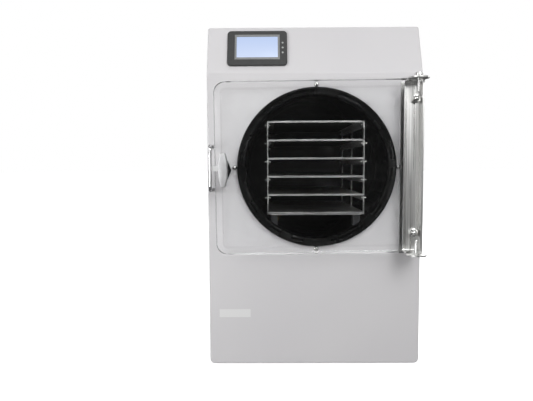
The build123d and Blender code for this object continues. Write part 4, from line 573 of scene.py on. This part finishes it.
# Painted shadow: a darker line 17 mm inside the plate's edge, where the edge shades the front sheet behind
# it.
edge_shadow_ramp = pane.nodes.new("ShaderNodeValToRGB")
edge_shadow_ramp.color_ramp.elements[0].color = (0.98, 0.985, 0.985, 1)
edge_shadow_ramp.color_ramp.elements[1].color = (0.995, 1, 1, 1)
shadow_line_at = 1 - shadow_inset / corner
for offset, tone in ((-0.03, 0.98), (0.0, 0.86), (0.05, 0.86), (0.08, 1.0)):
    stop = edge_shadow_ramp.color_ramp.elements.new(shadow_line_at + offset)
    stop.color = (tone, tone, tone, 1)
pane.links.new(from_core, to_edge.inputs["Value"])
pane.links.new(to_edge.outputs["Result"], edge_shadow_ramp.inputs["Fac"])
pane.links.new(edge_shadow_ramp.outputs["Color"], pane.nodes["Principled BSDF"].inputs["Base Color"])
lamp_ray = pane.nodes.new("ShaderNodeLightPath")
clear_way = pane.nodes.new("ShaderNodeBsdfTransparent")
clear_way.inputs["Color"].default_value = (0.975, 0.98, 0.98, 1)
either = pane.nodes.new("ShaderNodeMixShader")
pane.links.new(lamp_ray.outputs["Is Shadow Ray"], either.inputs[0])
pane.links.new(pane.nodes["Principled BSDF"].outputs[0], either.inputs[1])
pane.links.new(clear_way.outputs[0], either.inputs[2])
pane.links.new(either.outputs[0], pane.nodes["Material Output"].inputs["Surface"])
dress(acrylic, "door_plate")

# Hinge. Bracket on the cabinet and channel on the door, both folded from 3 mm stainless
# sheet with an upright brushed grain.
hinge_steel = finish("hinge_steel", (0.67, 0.67, 0.66), 1.0, 0.3)
tint(hinge_steel, grain(hinge_steel, 260, 0, 1, stretch=(1, 1, 0.01)), (0.48, 0.48, 0.47), (0.80, 0.80, 0.79))
polish(hinge_steel, grain(hinge_steel, 420, 0.24, 0.4, stretch=(1, 1, 0.012)))
dress(hinge_steel, "hinge_channel", "hinge_bracket")

# Hinge pins. Turned stainless: the top one has a grooved knob to draw it out by, the
# bottom one a low collar under the bracket's ear.
bottom_pin, top_pin = solids_of("hinge_pins")
pins = bmesh.new()
pin_radius, knob_radius, knob_height = 0.0029, 0.0095, 0.0095
low, high = top_pin
shank = high.z - low.z - knob_height
turned(
    pins,
    (
        (0, -shank), (0.0012, -shank), (pin_radius, 0.002 - shank),
        (pin_radius, 0), (knob_radius - 0.0006, 0),
        (knob_radius, 0.0006), (knob_radius, 0.0028), (knob_radius - 0.0006, 0.0031),
        (knob_radius - 0.0006, 0.0037), (knob_radius, 0.004), (knob_radius, 0.0078),
        (knob_radius - 0.0005, 0.009), (knob_radius - 0.0016, knob_height), (0, knob_height),
    ),
    place=Matrix.Translation(((low.x + high.x) / 2, (low.y + high.y) / 2, high.z - knob_height)),
)
low, high = bottom_pin
rise = high.z - low.z
collar_radius, collar_height = 2 * pin_radius, 0.003
turned(
    pins,
    (
        (0, 0), (collar_radius - 0.0006, 0), (collar_radius, 0.0006), (collar_radius, collar_height),
        (pin_radius, collar_height), (pin_radius, rise - 0.0022), (pin_radius - 0.0006, rise - 0.0007),
        (0.0012, rise), (0, rise),
    ),
    place=Matrix.Translation(((low.x + high.x) / 2, (low.y + high.y) / 2, low.z)),
)
settle("turned_pins", pins, stainless, "cabinet", "stainless_hardware", "hinge_pins")

# Cap nuts. Two bright hexagon nuts with domed ends clamp the channel to the door, each on
# a bolt through the plate with a flat head behind it.
bright_nut = finish("bright_nickel", (0.72, 0.72, 0.71), 1.0, 0.12)
polish(bright_nut, grain(bright_nut, 200, 0.08, 0.18))
nut_height, dome_radius, hex_radius, bolt_radius = 0.008, 0.0065, 0.0102, 0.004
nuts = bmesh.new()
for low, high in solids_of("channel_nuts"):
    seat_y = low.y + dome_radius + nut_height
    outward = facing_front(((low.x + high.x) / 2, seat_y, (low.z + high.z) / 2))
    hexagon_nut = bmesh.ops.create_cone(
        nuts, cap_ends=True, segments=6, radius1=hex_radius, radius2=hex_radius, depth=nut_height,
        matrix=outward @ Matrix.Translation((0, 0, nut_height / 2)),
    )["verts"]
    bmesh.ops.bevel(
        nuts, geom=list({edge for vert in hexagon_nut for edge in vert.link_edges}), offset=0.0008,
        affect="EDGES", segments=2, profile=0.5, material=-1,
    )
    turned(
        nuts,
        [(0, nut_height - 0.0005), (dome_radius + 0.0006, nut_height - 0.0005)]
        + [(dome_radius * cos(t * pi / 16), nut_height + dome_radius * sin(t * pi / 16)) for t in range(9)],
        32,
        outward,
    )
    thickness = high.y - seat_y
    turned(
        nuts,
        (
            (0, 0.001), (bolt_radius, 0.001), (bolt_radius, 0.003 - thickness),
            (2 * bolt_radius, 0.003 - thickness), (2 * bolt_radius, 0.0005 - thickness),
            (2 * bolt_radius - 0.0006, -thickness), (0, -thickness),
        ),
        32,
        outward,
    )
settle("cap_nuts", nuts, bright_nut, "door", "stainless_hardware", "channel_nuts")

# Latch. Black anodised escutcheon and nut on the door, a white nylon nose and a long
# satin aluminium wing handle, cast with well rounded edges, on one steel spindle.
anodised = finish("black_anodised", (0.012, 0.012, 0.013), 0.6, 0.35)
polish(anodised, grain(anodised, 400, 0.28, 0.45))
dress(anodised, "latch_escutcheon", "latch_nut")
nylon = finish("white_nylon", (0.92, 0.92, 0.92), 0.0, 0.32, Coat_Weight=0.3, Coat_Roughness=0.15)
tint(nylon, grain(nylon, 60, 0, 1), (0.90, 0.90, 0.90), (0.94, 0.94, 0.94))
relief(nylon, grain(nylon, 300, 0, 1), 0.00002)
dress(nylon, "latch_nose")
satin_wing = finish("satin_aluminium", (0.54, 0.54, 0.55), 0.5, 0.38)
tint(satin_wing, grain(satin_wing, 90, 0, 1), (0.51, 0.51, 0.52), (0.57, 0.57, 0.58))
polish(satin_wing, grain(satin_wing, 500, 0.36, 0.5))
wing_low, wing_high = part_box("latch_wing")
spindle = (wing_low + wing_high) / 2
wing_thickness = 0.022
wing_back = wing_low.y + wing_thickness
wing_half, wing_reach = (wing_high.x - wing_low.x) / 2, (wing_high.z - wing_low.z) / 2
top_half, bottom_half, straight = 0.0055, 0.0046, 0.017
wing = bmesh.new()
wing_rim = [
    wing.verts.new((spindle.x + across, wing_back, spindle.z + up))
    for across, up in (
        (-bottom_half, -wing_reach), (bottom_half, -wing_reach),
        (wing_half, -straight), (wing_half, straight),
        (top_half, wing_reach), (-top_half, wing_reach),
        (-wing_half, straight), (-wing_half, -straight),
    )
]
wing_face = wing.faces.new(wing_rim)
raised = bmesh.ops.extrude_face_region(wing, geom=[wing_face])["geom"]
front_rim = [part for part in raised if isinstance(part, bmesh.types.BMVert)]
bmesh.ops.translate(wing, verts=front_rim, vec=(0, -wing_thickness, 0))
bmesh.ops.recalc_face_normals(wing, faces=wing.faces)
corners = [edge for edge in wing.edges if abs(edge.verts[0].co.y - edge.verts[1].co.y) > 0.01]
bmesh.ops.bevel(wing, geom=corners, offset=0.0028, affect="EDGES", segments=4, profile=0.5, material=-1)
bmesh.ops.bevel(
    wing,
    geom=[edge for edge in wing.edges if all(abs(vert.co.y - wing_low.y) < 1e-6 for vert in edge.verts)],
    offset=0.0026, affect="EDGES", segments=3, profile=0.5, material=-1,
)
to_door = Matrix.Translation((spindle.x, wing_back, spindle.z)) @ Matrix.Rotation(-pi / 2, 4, "X")
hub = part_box("latch_nose")[0].y - wing_back
hub_outline = (
    (0, -0.001), (0.008, -0.001), (0.008, hub - 0.0004), (0.0076, hub - 0.0001), (0, hub - 0.0001),
)
turned(wing, hub_outline, 32, to_door)
depth = wing_high.y - wing_back
spindle_outline = (
    (0, hub - 0.001), (0.005, hub - 0.001), (0.005, depth - 0.0006), (0.0044, depth), (0, depth),
)
turned(wing, spindle_outline, 32, to_door)
settle("wing_handle", wing, satin_wing, "latch", "latch_satin", "latch_wing")

# Keeper. Round steel bar bent to a U and bright chromed, its two legs through the front
# sheet beside the latch.
chrome = finish("bright_chrome", (0.80, 0.80, 0.81), 1.0, 0.06, Specular_Tint=(0.25, 0.25, 0.25, 1))
polish(chrome, grain(chrome, 60, 0.04, 0.1))
dress(chrome, "keeper_bar")

# Touch panel. Dark grey moulded bezel with a satin grey frame let into it, which holds a
# glass screen lit pale blue, and three small lamps beside it.
bezel_grey = finish("bezel_grey", (0.032, 0.033, 0.033), 0.0, 0.45)
tint(bezel_grey, grain(bezel_grey, 120, 0, 1), (0.029, 0.030, 0.030), (0.035, 0.036, 0.036))
relief(bezel_grey, grain(bezel_grey, 1500, 0, 1), 0.00005)
dress(bezel_grey, "hmi_bezel")
screen_low, screen_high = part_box("hmi_screen")
console_back, console_rise = 0.041, 0.114
upright = pi / 2 - atan2(console_back, console_rise)
on_console = Matrix.Translation((screen_low + screen_high) / 2) @ Matrix.Rotation(upright, 4, "X")
frame_grey = finish("satin_frame", (0.235, 0.24, 0.24), 0.3, 0.4)
polish(frame_grey, grain(frame_grey, 300, 0.34, 0.48))
frame_width, frame_height, frame_depth, frame_border = 0.1054, 0.0653, 0.0030, 0.0045
glass_width, glass_height, glass_depth, glass_sunk = 0.0960, 0.0540, 0.0008, 0.0009
display = bmesh.new()
bmesh.ops.create_cube(
    display, size=1.0, matrix=Matrix.Diagonal((frame_width, frame_height, frame_depth, 1))
)
rim_face = max(display.faces, key=lambda face: face.calc_center_median().z)
bmesh.ops.inset_region(display, faces=[rim_face], thickness=frame_border)
for vert in rim_face.verts:
    vert.co.y *= 0.975
sunk_floor = bmesh.ops.extrude_discrete_faces(display, faces=[rim_face])["faces"][0]
bmesh.ops.translate(display, verts=sunk_floor.verts, vec=(0, 0, -glass_sunk))
bmesh.ops.bevel(
    display,
    geom=[edge for edge in display.edges if all(vert.co.z > 0.0014 for vert in edge.verts)],
    offset=0.0005, affect="EDGES", segments=2, profile=0.5, material=-1,
)
bmesh.ops.transform(display, matrix=on_console @ Matrix.Translation((0, 0, 0.0003)), verts=display.verts)
settle("display_frame", display, frame_grey, "cabinet", "bezel_grey", "hmi_screen")

lit_screen = finish(
    "lit_screen", (0.02, 0.02, 0.02), 0.0, 0.3, Specular_IOR_Level=0.2, Emission_Strength=0.96
)
picture = lit_screen.node_tree
spot = picture.nodes.new("ShaderNodeTexCoord")
split = picture.nodes.new("ShaderNodeSeparateXYZ")
fall = picture.nodes.new("ShaderNodeMapRange")
fall.inputs["From Min"].default_value = screen_low.z
fall.inputs["From Max"].default_value = screen_high.z
shade = picture.nodes.new("ShaderNodeMix")
shade.data_type = "RGBA"
shade.inputs["A"].default_value = (0.66, 0.76, 0.98, 1)
shade.inputs["B"].default_value = (0.50, 0.62, 0.90, 1)
picture.links.new(spot.outputs["Object"], split.inputs["Vector"])
picture.links.new(split.outputs["Z"], fall.inputs["Value"])
picture.links.new(fall.outputs["Result"], shade.inputs["Factor"])
picture.links.new(shade.outputs["Result"], picture.nodes["Principled BSDF"].inputs["Emission Color"])
glass = bmesh.new()
bmesh.ops.create_cube(
    glass, size=1.0, matrix=Matrix.Diagonal((glass_width, glass_height, glass_depth, 1))
)
bmesh.ops.bevel(
    glass, geom=glass.edges[:], offset=0.0002, affect="EDGES", segments=2, profile=0.5, material=-1
)
bmesh.ops.transform(glass, matrix=on_console @ Matrix.Translation((0, 0, 0.0009)), verts=glass.verts)
settle("display_glass", glass, lit_screen, "cabinet", "screen_glass")
lens_grey = finish("lamp_lens", (0.36, 0.38, 0.37), 0.0, 0.2, Coat_Weight=1.0)
tint(lens_grey, grain(lens_grey, 400, 0, 1), (0.33, 0.35, 0.34), (0.39, 0.41, 0.40))
dress(lens_grey, "status_lights")

# Label. A thin bare plate of satin film, a little whiter than the paint, stuck low on the
# front sheet.
label_stock = finish("label_stock", (0.70, 0.70, 0.70), 0.0, 0.35)
polish(label_stock, grain(label_stock, 900, 0.33, 0.37))
dress(label_stock, "blank_label")
